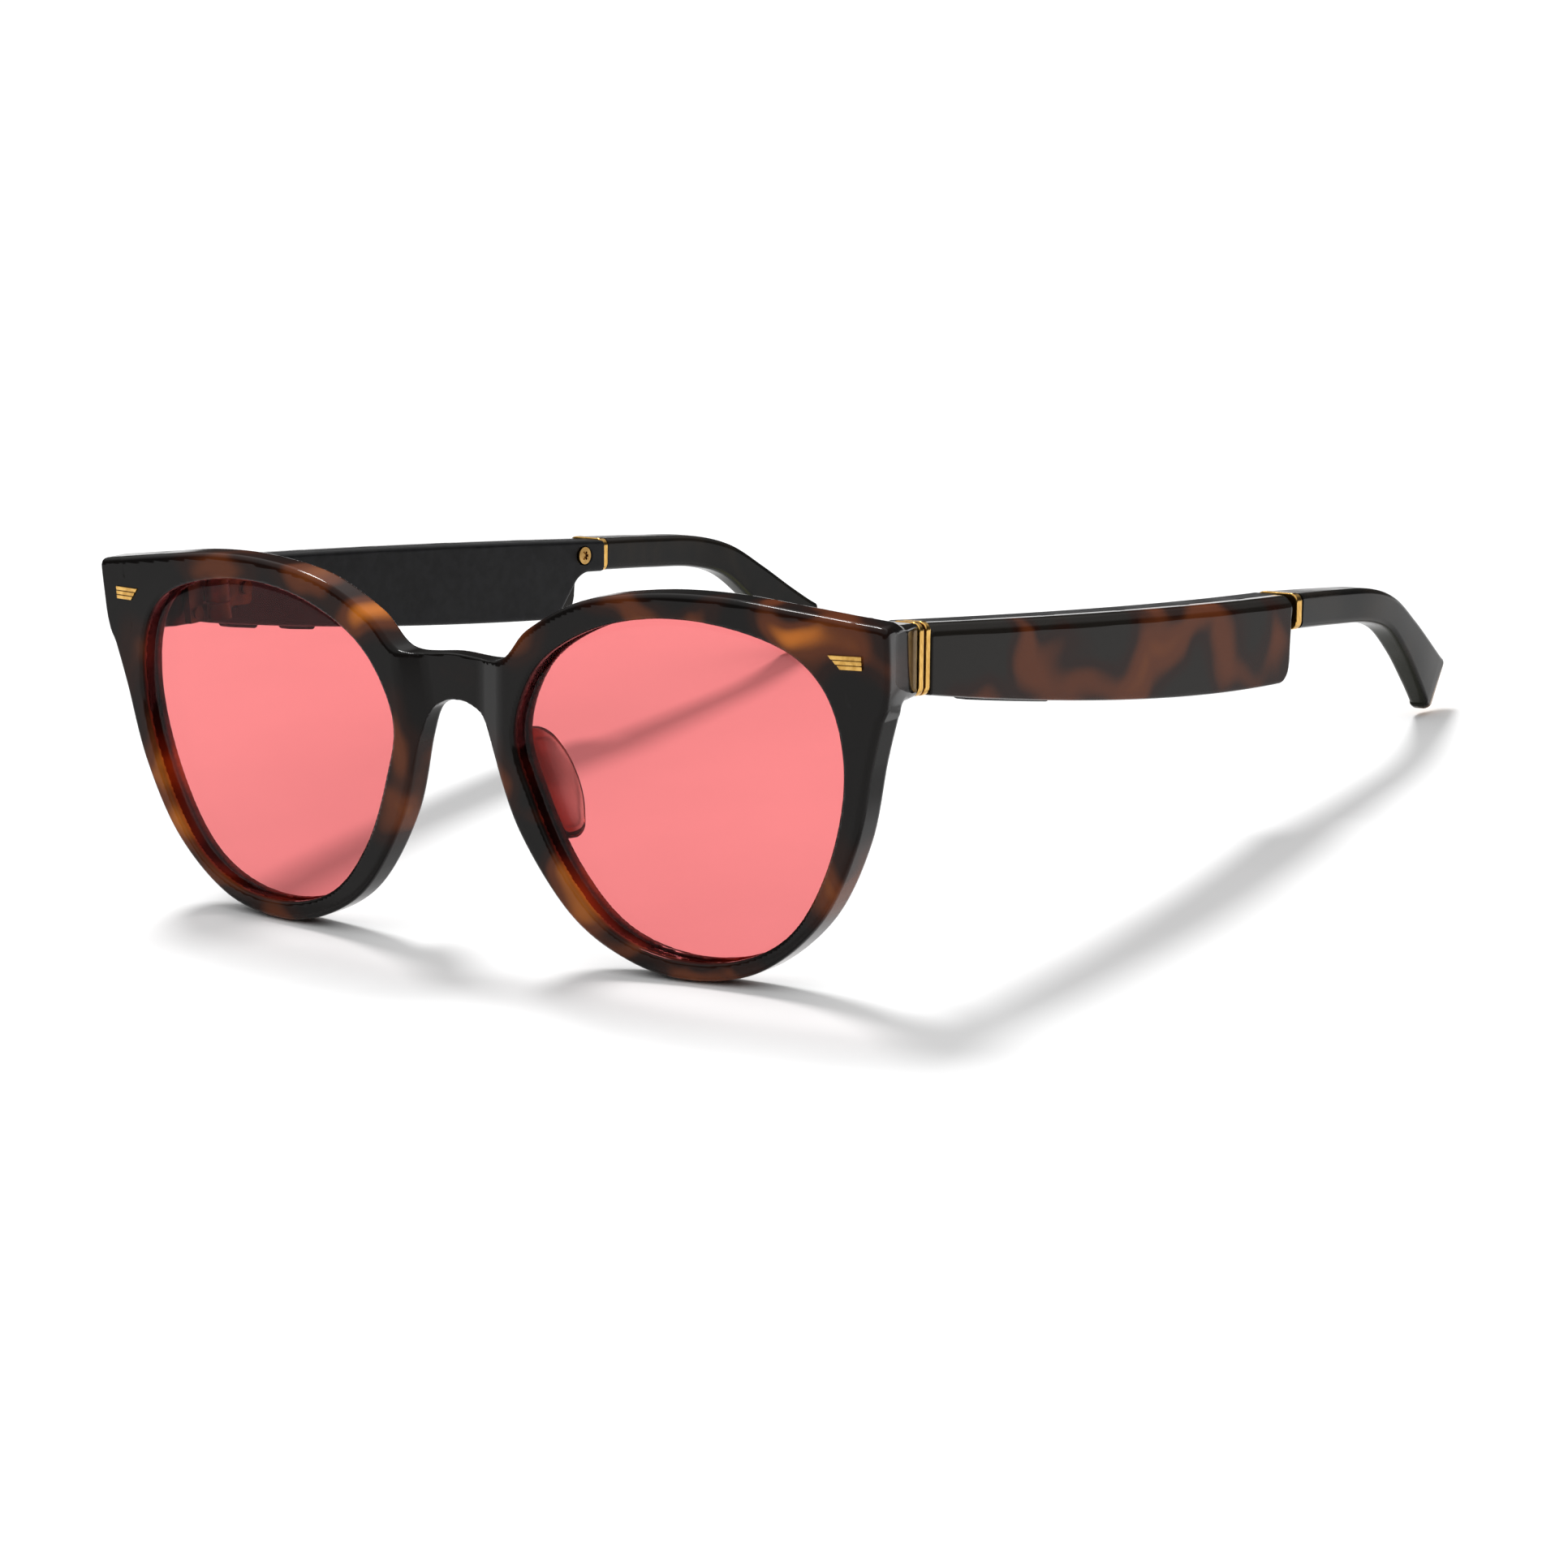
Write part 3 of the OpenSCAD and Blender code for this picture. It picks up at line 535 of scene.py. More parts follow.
def coral_lens():
    """A tint that colours what is seen through it, with a mirror gloss at a slant and a pale shadow."""
    material, tree, shader = new_material("coral_lens")
    coords = object_coords(tree)
    tint = ramp(tree, noise(tree, coords, 25, 2), [(0.2, (0.9, 0.456, 0.462)), (0.8, (0.91, 0.468, 0.472))])
    clear = tree.nodes.new("ShaderNodeBsdfTransparent")
    ray = tree.nodes.new("ShaderNodeLightPath")
    faint = maths(tree, "MAXIMUM", ray.outputs["Is Shadow Ray"], ray.outputs["Is Diffuse Ray"])
    tree.links.new(mixed(tree, faint, tint, (0.96, 0.935, 0.935)), clear.inputs["Color"])
    gloss = add(tree, "ShaderNodeBsdfGlossy", Roughness=0.03)
    graze = tree.nodes.new("ShaderNodeLayerWeight").outputs["Facing"]
    edge = remap(tree, maths(tree, "POWER", graze, 5.0), 0, 1, 0.012, 0.5)
    mix = tree.nodes.new("ShaderNodeMixShader")
    tree.links.new(edge, mix.inputs["Fac"])
    tree.links.new(clear.outputs["BSDF"], mix.inputs[1])
    tree.links.new(gloss.outputs["BSDF"], mix.inputs[2])
    tree.links.new(mix.outputs["Shader"], tree.nodes["Material Output"].inputs["Surface"])
    tree.nodes.remove(shader)
    return material


def clear_pad():
    """Clear plastic that turns brown towards its root."""
    material, tree, shader = new_material("clear_pad")
    coords = object_coords(tree)
    tint = ramp(tree, noise(tree, coords, 200, 2), [(0.3, (0.68, 0.55, 0.5)), (0.7, (0.78, 0.68, 0.64))])
    colour = mixed(tree, attribute(tree, "root"), tint, (0.2, 0.02, 0.012))
    tree.links.new(colour, shader.inputs["Base Color"])
    shader.inputs["Transmission Weight"].default_value = 0.9
    shader.inputs["IOR"].default_value = 1.45
    polish = noise(tree, coords, 500, 2)
    tree.links.new(remap(tree, polish, 0.3, 0.7, 0.05, 0.12), shader.inputs["Roughness"])
    return material


def gold(name, rough=(0.12, 0.24)):
    """Polished gold, drawn out along its length."""
    return surface(name, (0.55, 0.3, 0.07), (0.78, 0.48, 0.14), rough, 1.0, 900, (1, 6, 1), 0.08, 0.000005)


def tip_acetate():
    """Smoky acetate with light painted into its colour: an olive painted highlight along its lower outer
    edges and an amber painted glow on its end, where light would come through.
    """
    material, tree, shader = new_material("dark_tip")
    coords = object_coords(tree)
    cloud = noise(tree, coords, 110, 2.5, 0.5, 0.6)
    colour = ramp(tree, cloud, [(0.35, (0.008, 0.008, 0.0075)), (0.75, (0.02, 0.015, 0.011))])
    # under: a near-black underside with a faint olive tone; edge: a painted olive highlight along the lower
    # outer edge; cap: a painted amber glow on the end
    for layer, dark, light in (
        ("under", (0.012, 0.013, 0.009), (0.02, 0.02, 0.013)),
        ("edge", (0.12, 0.13, 0.045), (0.2, 0.2, 0.075)),
        ("cap", (0.42, 0.22, 0.08), (0.55, 0.36, 0.22)),
    ):
        colour = mixed(tree, attribute(tree, layer), colour, mixed(tree, cloud, dark, light))
    tree.links.new(colour, shader.inputs["Base Color"])
    tree.links.new(remap(tree, cloud, 0.3, 0.7, 0.16, 0.26), shader.inputs["Roughness"])
    shader.inputs["Specular IOR Level"].default_value = 0.13
    return material


def circuit_green():
    """Solder mask with copper tracks seen as a fine lattice."""
    material, tree, shader = new_material("board")
    coords = object_coords(tree)
    cell = add(tree, "ShaderNodeTexVoronoi", Scale=900.0, feature="DISTANCE_TO_EDGE")
    tree.links.new(coords, cell.inputs["Vector"])
    colour = ramp(tree, cell.outputs["Distance"], [(0.02, (0.03, 0.12, 0.05)), (0.08, (0.008, 0.05, 0.02))])
    tree.links.new(colour, shader.inputs["Base Color"])
    tree.links.new(remap(tree, noise(tree, coords, 700), 0.3, 0.7, 0.25, 0.45), shader.inputs["Roughness"])
    bumped(tree, shader, cell.outputs["Distance"], 0.3, 0.00003)
    return material


def woven_steel():
    """A fine steel mesh whose round holes are painted near-black, as painted shade behind them."""
    material, tree, shader = new_material("steel_mesh")
    coords = object_coords(tree)
    hole = add(tree, "ShaderNodeTexVoronoi", Scale=2600.0)
    tree.links.new(coords, hole.inputs["Vector"])
    # gap is the painted shade in the holes, which are not cut
    wire, gap = (0.28, 0.28, 0.29), (0.004, 0.004, 0.004)
    colour = ramp(tree, hole.outputs["Distance"], [(0.25, gap), (0.4, wire)])
    tree.links.new(colour, shader.inputs["Base Color"])
    shader.inputs["Metallic"].default_value = 0.8
    shader.inputs["Roughness"].default_value = 0.35
    bumped(tree, shader, hole.outputs["Distance"], 0.6, 0.00005)
    return material


# Amber spots on the front: across, up, half sizes across and up, strength
FRONT_SPOTS = [
    (31.5, 16.6, 7, 3.2, 0.66), (41, 17, 5, 1.6, 0.4), (55.5, 15.4, 6, 3, 1.0), (59.5, 12.6, 6.5, 4, 0.6),
    (64, 13.5, 4, 6, 0.42), (13.1, 12.4, 5, 5, 0.52), (18.5, -21.5, 6.5, 7.5, 0.82), (26, -28.5, 7, 3, 0.5),
    (38.5, -30.5, 8, 3.2, 0.66), (59.5, -17, 4, 9, 0.66), (8.3, -6, 3, 6, 0.48),
    (-41.3, 17.3, 9, 3.4, 0.58), (-25.8, 15.5, 6, 3.6, 0.66), (-14.5, 12.4, 6, 5, 0.92),
    (-58, -12.5, 6, 8, 0.86), (-53, -20.5, 6, 6.5, 1.0), (-46, -27, 6, 4, 0.66), (-9, -4.7, 3.4, 8, 0.62),
    (-13, -13.5, 4.5, 6, 0.66), (-36, -29.5, 7, 4, 0.58), (-63, 2, 4, 7, 0.4), (68.5, 10, 3, 4, 0.42),
]
# Brown spots on the temple covers: back, up, half sizes along and up, strength
COVER_SPOTS = [
    (24, 5, 6, 4, 0.56), (31.5, 14, 4, 5, 0.4), (33, 10, 5, 6, 0.44), (38, 7, 7, 6, 0.5),
    (44, 3.8, 7, 4, 0.46), (52.5, 4, 7, 5, 0.52), (56.5, 7.5, 6, 6, 0.46), (60.5, 11, 7, 6, 0.46),
    (68, 13.5, 11, 4, 0.5), (73, 10, 6, 7, 0.46), (78.5, 6.5, 7, 7, 0.5), (86, 5, 6, 4, 0.36),
    (92.5, 8, 5, 8, 0.5),
]


def front_spots():
    """The front's spots with their centres in the part's frame."""
    spots = []
    for x, v, wide, tall, strength in FRONT_SPOTS:
        centre = placed(front_to_worn(np.array([[x, 1.0, v]])))[0]
        spots.append((centre, (wide, 9, tall), strength))
    return spots


def cover_spots():
    """The left cover's spots with their centres in the part's frame."""
    spots = []
    for y, z, long, tall, strength in COVER_SPOTS:
        centre = placed(temple_to_worn(np.array([[0.0, y, z]])))[0]
        spots.append((centre, (12, long, tall), strength))
    return spots


def make_materials():
    return {
        "tortoiseshell_front": tortoiseshell(
            "tortoiseshell_front", front_spots(), (0.62, 0.88), (0.007, 0.006, 0.0055)),
        "tortoiseshell_temple": tortoiseshell(
            "tortoiseshell_temple", cover_spots(), (0.66, 0.9), (0.014, 0.012, 0.01)),
        "coral_lens": coral_lens(),
        "clear_pad": clear_pad(),
        "gold_trim": gold("gold_trim"),
        # gold_hinge is gold darkened to near-black: painted shade for the hinge parts in the shadowed gap
        # between the rings
        "gold_hinge": surface("gold_hinge", (0.035, 0.022, 0.01), (0.08, 0.05, 0.02), (0.3, 0.45), 1.0),
        "gold_screw": surface("gold_screw", (0.3, 0.17, 0.05), (0.5, 0.3, 0.1), (0.18, 0.3), 1.0),
        "core_wire": gold("core_wire", (0.2, 0.3)),
        "contact_gold": gold("contact_gold", (0.12, 0.2)),
        "black_housing": surface("black_housing", (0.007, 0.007, 0.0075), (0.011, 0.011, 0.012),
                                 (0.34, 0.46), gloss=0.12),
        "black_button": surface("black_button", (0.007, 0.007, 0.008), (0.012, 0.012, 0.013), (0.35, 0.5),
                                gloss=0.12),
        "switch_case": surface("switch_case", (0.05, 0.05, 0.05), (0.1, 0.1, 0.1), (0.4, 0.55)),
        "contact_carrier": surface("contact_carrier", (0.01, 0.01, 0.011), (0.02, 0.02, 0.02), (0.25, 0.4)),
        "speaker_case": surface("speaker_case", (0.03, 0.03, 0.032), (0.06, 0.06, 0.06), (0.45, 0.6)),
        "microphone_can": surface("microphone_can", (0.5, 0.5, 0.5), (0.65, 0.65, 0.65), (0.25, 0.4), 1.0),
        "battery_foil": surface("battery_foil", (0.35, 0.36, 0.38), (0.55, 0.56, 0.58), (0.25, 0.5), 0.9,
                                250, (1, 1, 1), 0.5, 0.0001),
        "light_guide": surface("light_guide", (0.7, 0.72, 0.72), (0.85, 0.86, 0.86), (0.2, 0.35)),
        "board": circuit_green(),
        "steel_mesh": woven_steel(),
        "dark_tip": tip_acetate(),
    }


# ---- The front -------------------------------------------------------------------------------------
def half_line():
    """The left half's outer line from the bridge's top to its underside, a little past the middle."""
    brow = open_curve([(-8.7, BRIDGE_TOP - 0.1), (0, BRIDGE_TOP)] + BROW, 24)[12:]
    cheek = open_curve(CHEEK + [(0, BRIDGE_UNDERSIDE), (-0.8, BRIDGE_UNDERSIDE)], 24)
    edge = open_curve([BROW[-1]] + TEMPLE_EDGE + [CHEEK[0]], 8)[1:-1]
    return np.concatenate([brow, edge, cheek])[::-1]


def front_field():
    """The front plate with its endpiece blocks, openings, lens grooves and the recess of the bridge."""
    outer = Outline(half_line(), False)
    opening = Outline(closed_curve(OPENING, 24), True)
    lean_c, lean_s = math.cos(FRONT_LEAN), math.sin(FRONT_LEAN)

    def field(x, d, v):
        ax = np.abs(x)
        rim, hole = outer.distance(ax, v), opening.distance(ax, v)
        y = WRAP_R - np.sqrt((WRAP_R - d)**2 - ax**2)
        wy, wz = y * lean_c - v * lean_s, y * lean_s + v * lean_c
        inner = both(59.0 - ax, line(ax, wy, (59.05, 10), (62.5, 5)), 0.8)
        level = both(line(wy, wz, (13, 15.6), (3, 15.9)), line(wy, wz, (3, 6.1), (13, 6.6)), 0.8)
        block = both(both(inner, level, 0.9), slab(wy, ENDPIECE_FRONT, ENDPIECE_BACK), 0.25)
        block = np.maximum(block, 1.0 - d)
        ease = ((6.4 - wz) / 2.4).clip(0, 1)
        taper = line(ax, wy, (68.9, 4.6), (66, 13)) - 1.2 * ease * ease * (3 - 2 * ease)
        solid = either(slab(d, 0, FRONT_T), block, 1.2)
        solid = both(solid, both(rim, taper, 1.5), 0.8)
        solid = without(solid, hole + OPENING_INSET, 0.42)
        band = slab(d, LENS_DEPTH - 0.02, LENS_DEPTH + LENS_T + 0.02)
        groove = np.maximum(hole - (GROOVE_REACH - OPENING_INSET + FIT), band)
        solid = np.maximum(solid, -groove)
        step = (STEP_HALF + STEP_GROWTH * v - ax) * BRIDGE_RECESS / STEP_SLANT
        recess = both(d - step, d - BRIDGE_RECESS, 0.25)
        return without(solid, recess, 0.25)

    return field, opening


def make_front(materials):
    field, opening = front_field()
    shape = skin(field, (-70.2, -0.7, -32.6), (70.2, 11.8, 19.0), (0.4, 0.35, 0.4))
    x, d, v = shape[0].T
    hole = opening.distance(np.abs(x), v)
    wall = smooth((0.35 - np.abs(hole + OPENING_INSET)) / 0.3) * smooth((d - 0.5) / 0.4)
    piece = field_piece("front_shell", shape, front_to_worn, attributes={"wall": wall})
    finish_piece(piece, "front", "front_frame", "tortoiseshell_front", materials)


def glass_rings():
    """A lens's rings from one face round to the other: how large, how far outward, how deep."""
    lip = 0.25
    half = [(k, 0.0, 0.0) for k in (0.02, 0.25, 0.5, 0.75, 0.92)]
    half += [(1.0, -lip, 0.0), (1.0, -lip * 0.3, lip * 0.3), (1.0, 0.0, lip)]
    front = [(k, shift, LENS_DEPTH + depth) for k, shift, depth in half]
    back = [(k, shift, LENS_DEPTH + LENS_T - depth) for k, shift, depth in half[::-1]]
    return front + back


def make_lens(side, materials):
    """A curved plate with a bevelled edge that sits in the front's groove."""
    edge = grown(closed_curve(OPENING, 8), GROOVE_REACH - OPENING_INSET - FIT)
    middle = edge.mean(0)
    rows = []
    for scale, shift, depth in glass_rings():
        flat = middle + (grown(edge, shift) - middle) * scale
        rows.append(np.stack([flat[:, 0], np.full(len(flat), depth), flat[:, 1]], 1))
    points = front_to_worn(np.concatenate(rows))
    piece = add_piece(f"lens_glass_{NAMES[side]}", points, loft_faces(len(rows), len(edge)), side)
    sharpen(piece, 50)
    finish_piece(piece, "front", f"lens_{NAMES[side]}", "coral_lens", materials)


def make_pad(side, materials):
    """A fin behind the rim that leans outward, with a rounded rim of its own."""
    root = open_curve([(9, -1.8), (9.3, -5), (10.3, -9), (12, -12.7), (14.2, -15.9)], 12)
    last = len(root) - 1
    rows = []
    for i, p in enumerate(root):
        base = FRONT_T + 0.12 + p[0]**2 / (2 * WRAP_R)
        end = math.sin(math.pi * (i + 1.2) / (last + 2.4))
        reach = 0.7 + 3.6 * end**0.7
        lean, width = 0.7 * reach, 0.5 + 0.45 * min(1, end * 2.5)
        section = [
            (-1.2, 0), (1.3, 0), (1.25 + 0.6 * lean, 0.6), (1.0 + 0.9 * lean, 0.9),
            (0.4 + lean, 0.985), (-0.4 + 0.9 * lean, 0.88), (-1.0 + 0.5 * lean, 0.5),
        ]
        loop = closed_curve([(width * (a - lean * b) + lean * b, b * reach) for a, b in section], 4)
        loop[:, 1] = loop[:, 1].clip(0, None)
        rows.append(np.stack([p[0] + loop[:, 0], base + loop[:, 1], np.full(len(loop), p[1])], 1))
    points = np.concatenate(rows)
    root_colour = smooth(1.3 - (points[:, 1] - FRONT_T) / 2.9)
    piece = add_piece(f"pad_{NAMES[side]}", leaned(points), loft_faces(len(rows), len(rows[0])), side,
                      attributes={"root": root_colour})
    sharpen(piece, 60)
    finish_piece(piece, "front", f"nose_pad_{NAMES[side]}", "clear_pad", materials)


def make_plaque(side, materials):
    """Three ribs with slanted ends, each a little longer than the one below it."""
    low, rib, proud, sink, end, middle = 10.0, 0.6, 0.25, 0.5, 65.0, 62.6
    turn = math.asin(middle / WRAP_R)
    rise = WRAP_R * (1 - math.cos(turn))
    points, faces = [], []
    for i, start in enumerate((61.4, 60.8, 60.2)):
        v0, v1 = low + i * rib + 0.03, low + (i + 1) * rib - 0.03
        outline = [(start + 0.45, v0), (end, v0), (end, v1), (start + 0.02, v1)]
        for depth in (-proud, sink):
            for a, v in outline:
                x = middle + (a - middle) * math.cos(turn) - depth * math.sin(turn)
                y = rise + (a - middle) * math.sin(turn) + depth * math.cos(turn)
                points.append((x, y, v))
        k = 8 * i
        faces += [[k, k + 1, k + 2, k + 3], [k + 7, k + 6, k + 5, k + 4]]
        faces += [[k + j, k + 4 + j, k + 4 + (j + 1) % 4, k + (j + 1) % 4] for j in range(4)]
    piece = add_piece(f"plaque_ribs_{NAMES[side]}", leaned(np.array(points)), faces, side)
    bevel(piece, 0.07)
    finish_piece(piece, "front", f"plaque_{NAMES[side]}", "gold_trim", materials)


# ---- Rings ---------------------------------------------------------------------------------------
RING_X = (HALF_WIDTH + 0.05 - 4.7, HALF_WIDTH + 0.05)
RING_Z = (6.5, 15.7)
RING_RIM = 1.3
RING_T = 0.95


def hinge_ring_field(y0):
    """A flat gold band round the hinge, and the box that it fits in."""
    centre = ((RING_X[0] + RING_X[1]) / 2, (RING_Z[0] + RING_Z[1]) / 2)
    size = (RING_X[1] - RING_X[0], RING_Z[1] - RING_Z[0])

    def field(x, y, z):
        band = round_rect(x, z, centre, size, 1.2)
        hole = round_rect(x, z, centre, (size[0] - 2 * RING_RIM, size[1] - 2 * RING_RIM), 0.6)
        return both(without(band, hole, 0.12), slab(y, y0, y0 + RING_T), 0.14)

    low = (RING_X[0] - 0.3, y0 - 0.3, RING_Z[0] - 0.3)
    high = (RING_X[1] + 0.3, y0 + RING_T + 0.3, RING_Z[1] + 0.3)
    return field, low, high


def make_hinge_rings(materials):
    for y0, node in ((ENDPIECE_BACK + 0.01, "front_ring"), (TEMPLE_START - 0.97, "temple_ring")):
        shape = skin(*hinge_ring_field(y0), (0.2, 0.12, 0.2))
        for side in (LEFT, RIGHT):
            body = "front" if node == "front_ring" else f"{NAMES[side]}_temple"
            piece = field_piece(f"{node}_band_{NAMES[side]}", shape, as_worn, side)
            finish_piece(piece, body, f"{node}_{NAMES[side]}", "gold_trim", materials)


# ---- Temples -------------------------------------------------------------------------------------
def cavity(d, y, z):
    """The room for the electronics, half in the cover and half in the housing."""
    level = np.maximum(bottom_z(y) + WALL - z, z - top_z(y) + WALL)
    return np.maximum(np.maximum(slab(d, 1.4, TEMPLE_T - WALL), slab(y, TEMPLE_START + 1.6, 86)), level)


def cover_field(d, y, z):
    """The outer shell: bevelled along its top, with a slanted end and a round lower corner."""
    back = y - (COVER_END - 0.7 + 0.7 * (z - 4.45) / 9)
    low = both(bottom_z(y) - z, back, 2.6)
    shape = both(bevelled(-d, z - top_z(y), 1.2, 0.35), low, 0.55)
    shape = both(both(shape, d - COVER_T, 0.1), TEMPLE_START - y, 0.1)
    return np.maximum(shape, -cavity(d, y, z))


SCREW, MICROPHONE_HOLE, LAMP = (93.7, 11.3), (20.7, 8.8), (30, 11.5)
BUTTONS = {"volume_rocker": (25.2, 41.4, 0.4, LEFT), "action_button": (20.4, 27.3, 0.5, RIGHT),
           "mute_button": (33.8, 40.0, 0.5, RIGHT)}
BUTTON_D = (COVER_T + 0.7, COVER_T + 2.9)
PLATE_Y, PLATE_Z = 56.5, 8.4


def housing_body(d, y, z):
    """The housing's outside, cut away along a slant under its tail."""
    slant = math.cos(math.atan(NECK_SLOPE))
    neck = either((2.3 + (y - 89) * NECK_SLOPE - z) * slant, 8.75 - z, 1.4)
    low = both(bottom_z(y) - z, neck, 0.8)
    shape = both(both(low, z - top_z(y), 0.3), d - TEMPLE_T, 0.6)
    shape = both(shape, COVER_T + FIT - d, 0.1)
    return both(shape, slab(y, TEMPLE_START, HOUSING_END), 0.15)


def without_shared_holes(shape, d, y, z):
    """Cuts the screw's bore, the microphone's hole, the slot for the tip's wire and the speaker's port."""
    bore = np.maximum(np.hypot(y - SCREW[0], z - SCREW[1]) - 1.4, TEMPLE_T - 0.55 - d)
    shape = without(shape, bore, 0.08)
    pinhole = np.hypot(y - MICROPHONE_HOLE[0], z - MICROPHONE_HOLE[1]) - 0.42
    shape = without(shape, np.maximum(pinhole, 5.5 - d), 0.08)
    x, tail_x = outer_x(y) - d, outer_x(95.0)
    slot = np.maximum(np.maximum(slab(x, tail_x - 6.05, tail_x - 3.9), 91.4 - y), slab(z, 9.7, 12.75))
    shape = np.maximum(shape, -slot)
    port = np.maximum(np.maximum(slab(d, 4.2, 5.4), slab(y, 78.5, 83.5)), z - 5)
    seat = np.maximum(np.maximum(slab(d, 3.9, 5.7), slab(y, 78, 84)), slab(z, bottom_z(81.0) + 0.5, 5))
    return without(shape, np.minimum(port, seat), 0.05)


def without_windows(shape, d, y, z, side):
    """Cuts a window for each button on this side."""
    for start, end, _, hand in BUTTONS.values():
        if hand == side:
            window = np.maximum(slab(y, start - 0.12, end + 0.12), z - bottom_z(start) - WALL - 0.6)
            window = np.maximum(window, slab(d, BUTTON_D[0] - 0.1, BUTTON_D[1] + 0.1))
            shape = without(shape, window, 0.12)
    return shape


def without_plate_pocket(shape, d, y, z):
    """Cuts the charging plate's pocket and the hole of the status light."""
    inner_x = outer_x(PLATE_Y) - TEMPLE_T
    pocket = np.maximum(slab(y, PLATE_Y - 4.04, PLATE_Y + 4.04), slab(z, PLATE_Z - 2.04, PLATE_Z + 2.04))
    shape = without(shape, np.maximum(pocket, outer_x(y) - d - inner_x - 0.74), 0.05)
    lamp_hole = np.hypot(y - LAMP[0], z - LAMP[1]) - 0.63
    return without(shape, np.maximum(lamp_hole, 5.5 - d), 0.05)


def housing_field(side):
    def field(d, y, z):
        shape = np.maximum(housing_body(d, y, z), -cavity(d, y, z))
        shape = without_shared_holes(shape, d, y, z)
        shape = without_windows(shape, d, y, z, side)
        return without_plate_pocket(shape, d, y, z) if side == LEFT else shape

    return field


def make_temples(materials):
    cover = skin(cover_field, (-0.6, 14.7, 1.2), (3.6, 97.2, 16.0), (0.3, 0.5, 0.36))
    for side in (LEFT, RIGHT):
        body = f"{NAMES[side]}_temple"
        piece = field_piece(f"cover_shell_{NAMES[side]}", cover, temple_to_worn, side)
        finish_piece(piece, body, f"outer_cover_{NAMES[side]}", "tortoiseshell_temple", materials)
        housing = skin(housing_field(side), (2.6, 14.8, 1.2), (7.8, 97.6, 16.0), (0.3, 0.42, 0.34))
        piece = field_piece(f"housing_shell_{NAMES[side]}", housing, temple_to_worn, side)
        finish_piece(piece, body, f"inner_housing_{NAMES[side]}", "black_housing", materials)


def button_field(start, end, proud):
    """A cap that follows the temple's underside, with a flange that keeps it in."""
    def field(d, y, z):
        up = z - bottom_z(y)
        cap = both(both(slab(y, start, end), -proud - up, 0.7), slab(d, *BUTTON_D), 0.35)
        cap = np.maximum(cap, up - 1.5)
        flange = np.maximum(slab(y, start - 0.7, end + 0.7), slab(up, 1.42, 1.68))
        return np.minimum(cap, np.maximum(flange, slab(d, BUTTON_D[0] + 0.1, BUTTON_D[1] - 0.1)))

    return field


def make_buttons(materials):
    for node, (start, end, proud, side) in BUTTONS.items():
        low = (BUTTON_D[0] - 0.4, start - 1.1, bottom_z(end) - proud - 0.5)
        high = (BUTTON_D[1] + 0.4, end + 1.1, bottom_z(start) + 2.3)
        shape = skin(button_field(start, end, proud), low, high, (0.22, 0.25, 0.16))
        piece = field_piece(f"{node}_cap", shape, temple_to_worn, side)
        finish_piece(piece, node, node, "black_button", materials)


# ---- Tips ----------------------------------------------------------------------------------------
TIP_LINE = [
    (62.5, 99.07, 11.2), (62, 110, 10.9), (61.5, 120, 10.4), (60.7, 127.5, 8.7),
    (59.9, 134, 4.9), (59.1, 139.8, 0.6), (58.2, 145, -3.4),
]
TIP_SIZES = [(6.6, 4.8), (5.3, 4.8), (4.5, 4.8), (4.1, 4.9), (3.6, 5.8), (3.2, 7.4), (2.8, 9.3)]
TANG_X = 61.3
TIP_RING_Y = (97.57, 98.87)
TIP_BEND = 26


def round_loop(w, h, r, n=8):
    """A rectangle with round corners, counter-clockwise."""
    loop = []
    for cx, cy, turn in ((1, 1, 0), (-1, 1, 90), (-1, -1, 180), (1, -1, 270)):
        for k in range(n + 1):
            a = math.radians(turn + 90 * k / n)
            loop.append((cx * (w / 2 - r) + r * math.cos(a), cy * (h / 2 - r) + r * math.sin(a)))
    return loop


def tip_stations(end):
    """The tip's sections: place on its line, how far rounded off, how far pulled back from the end."""
    stations = [(i, 0.0, 0.0) for i in range(end - 4)]
    steps = 8
    for k in range(steps + 1):
        a = math.radians(90 * k / steps)
        stations.append((end, 1 - math.cos(a), 1 - math.sin(a)))
    return stations


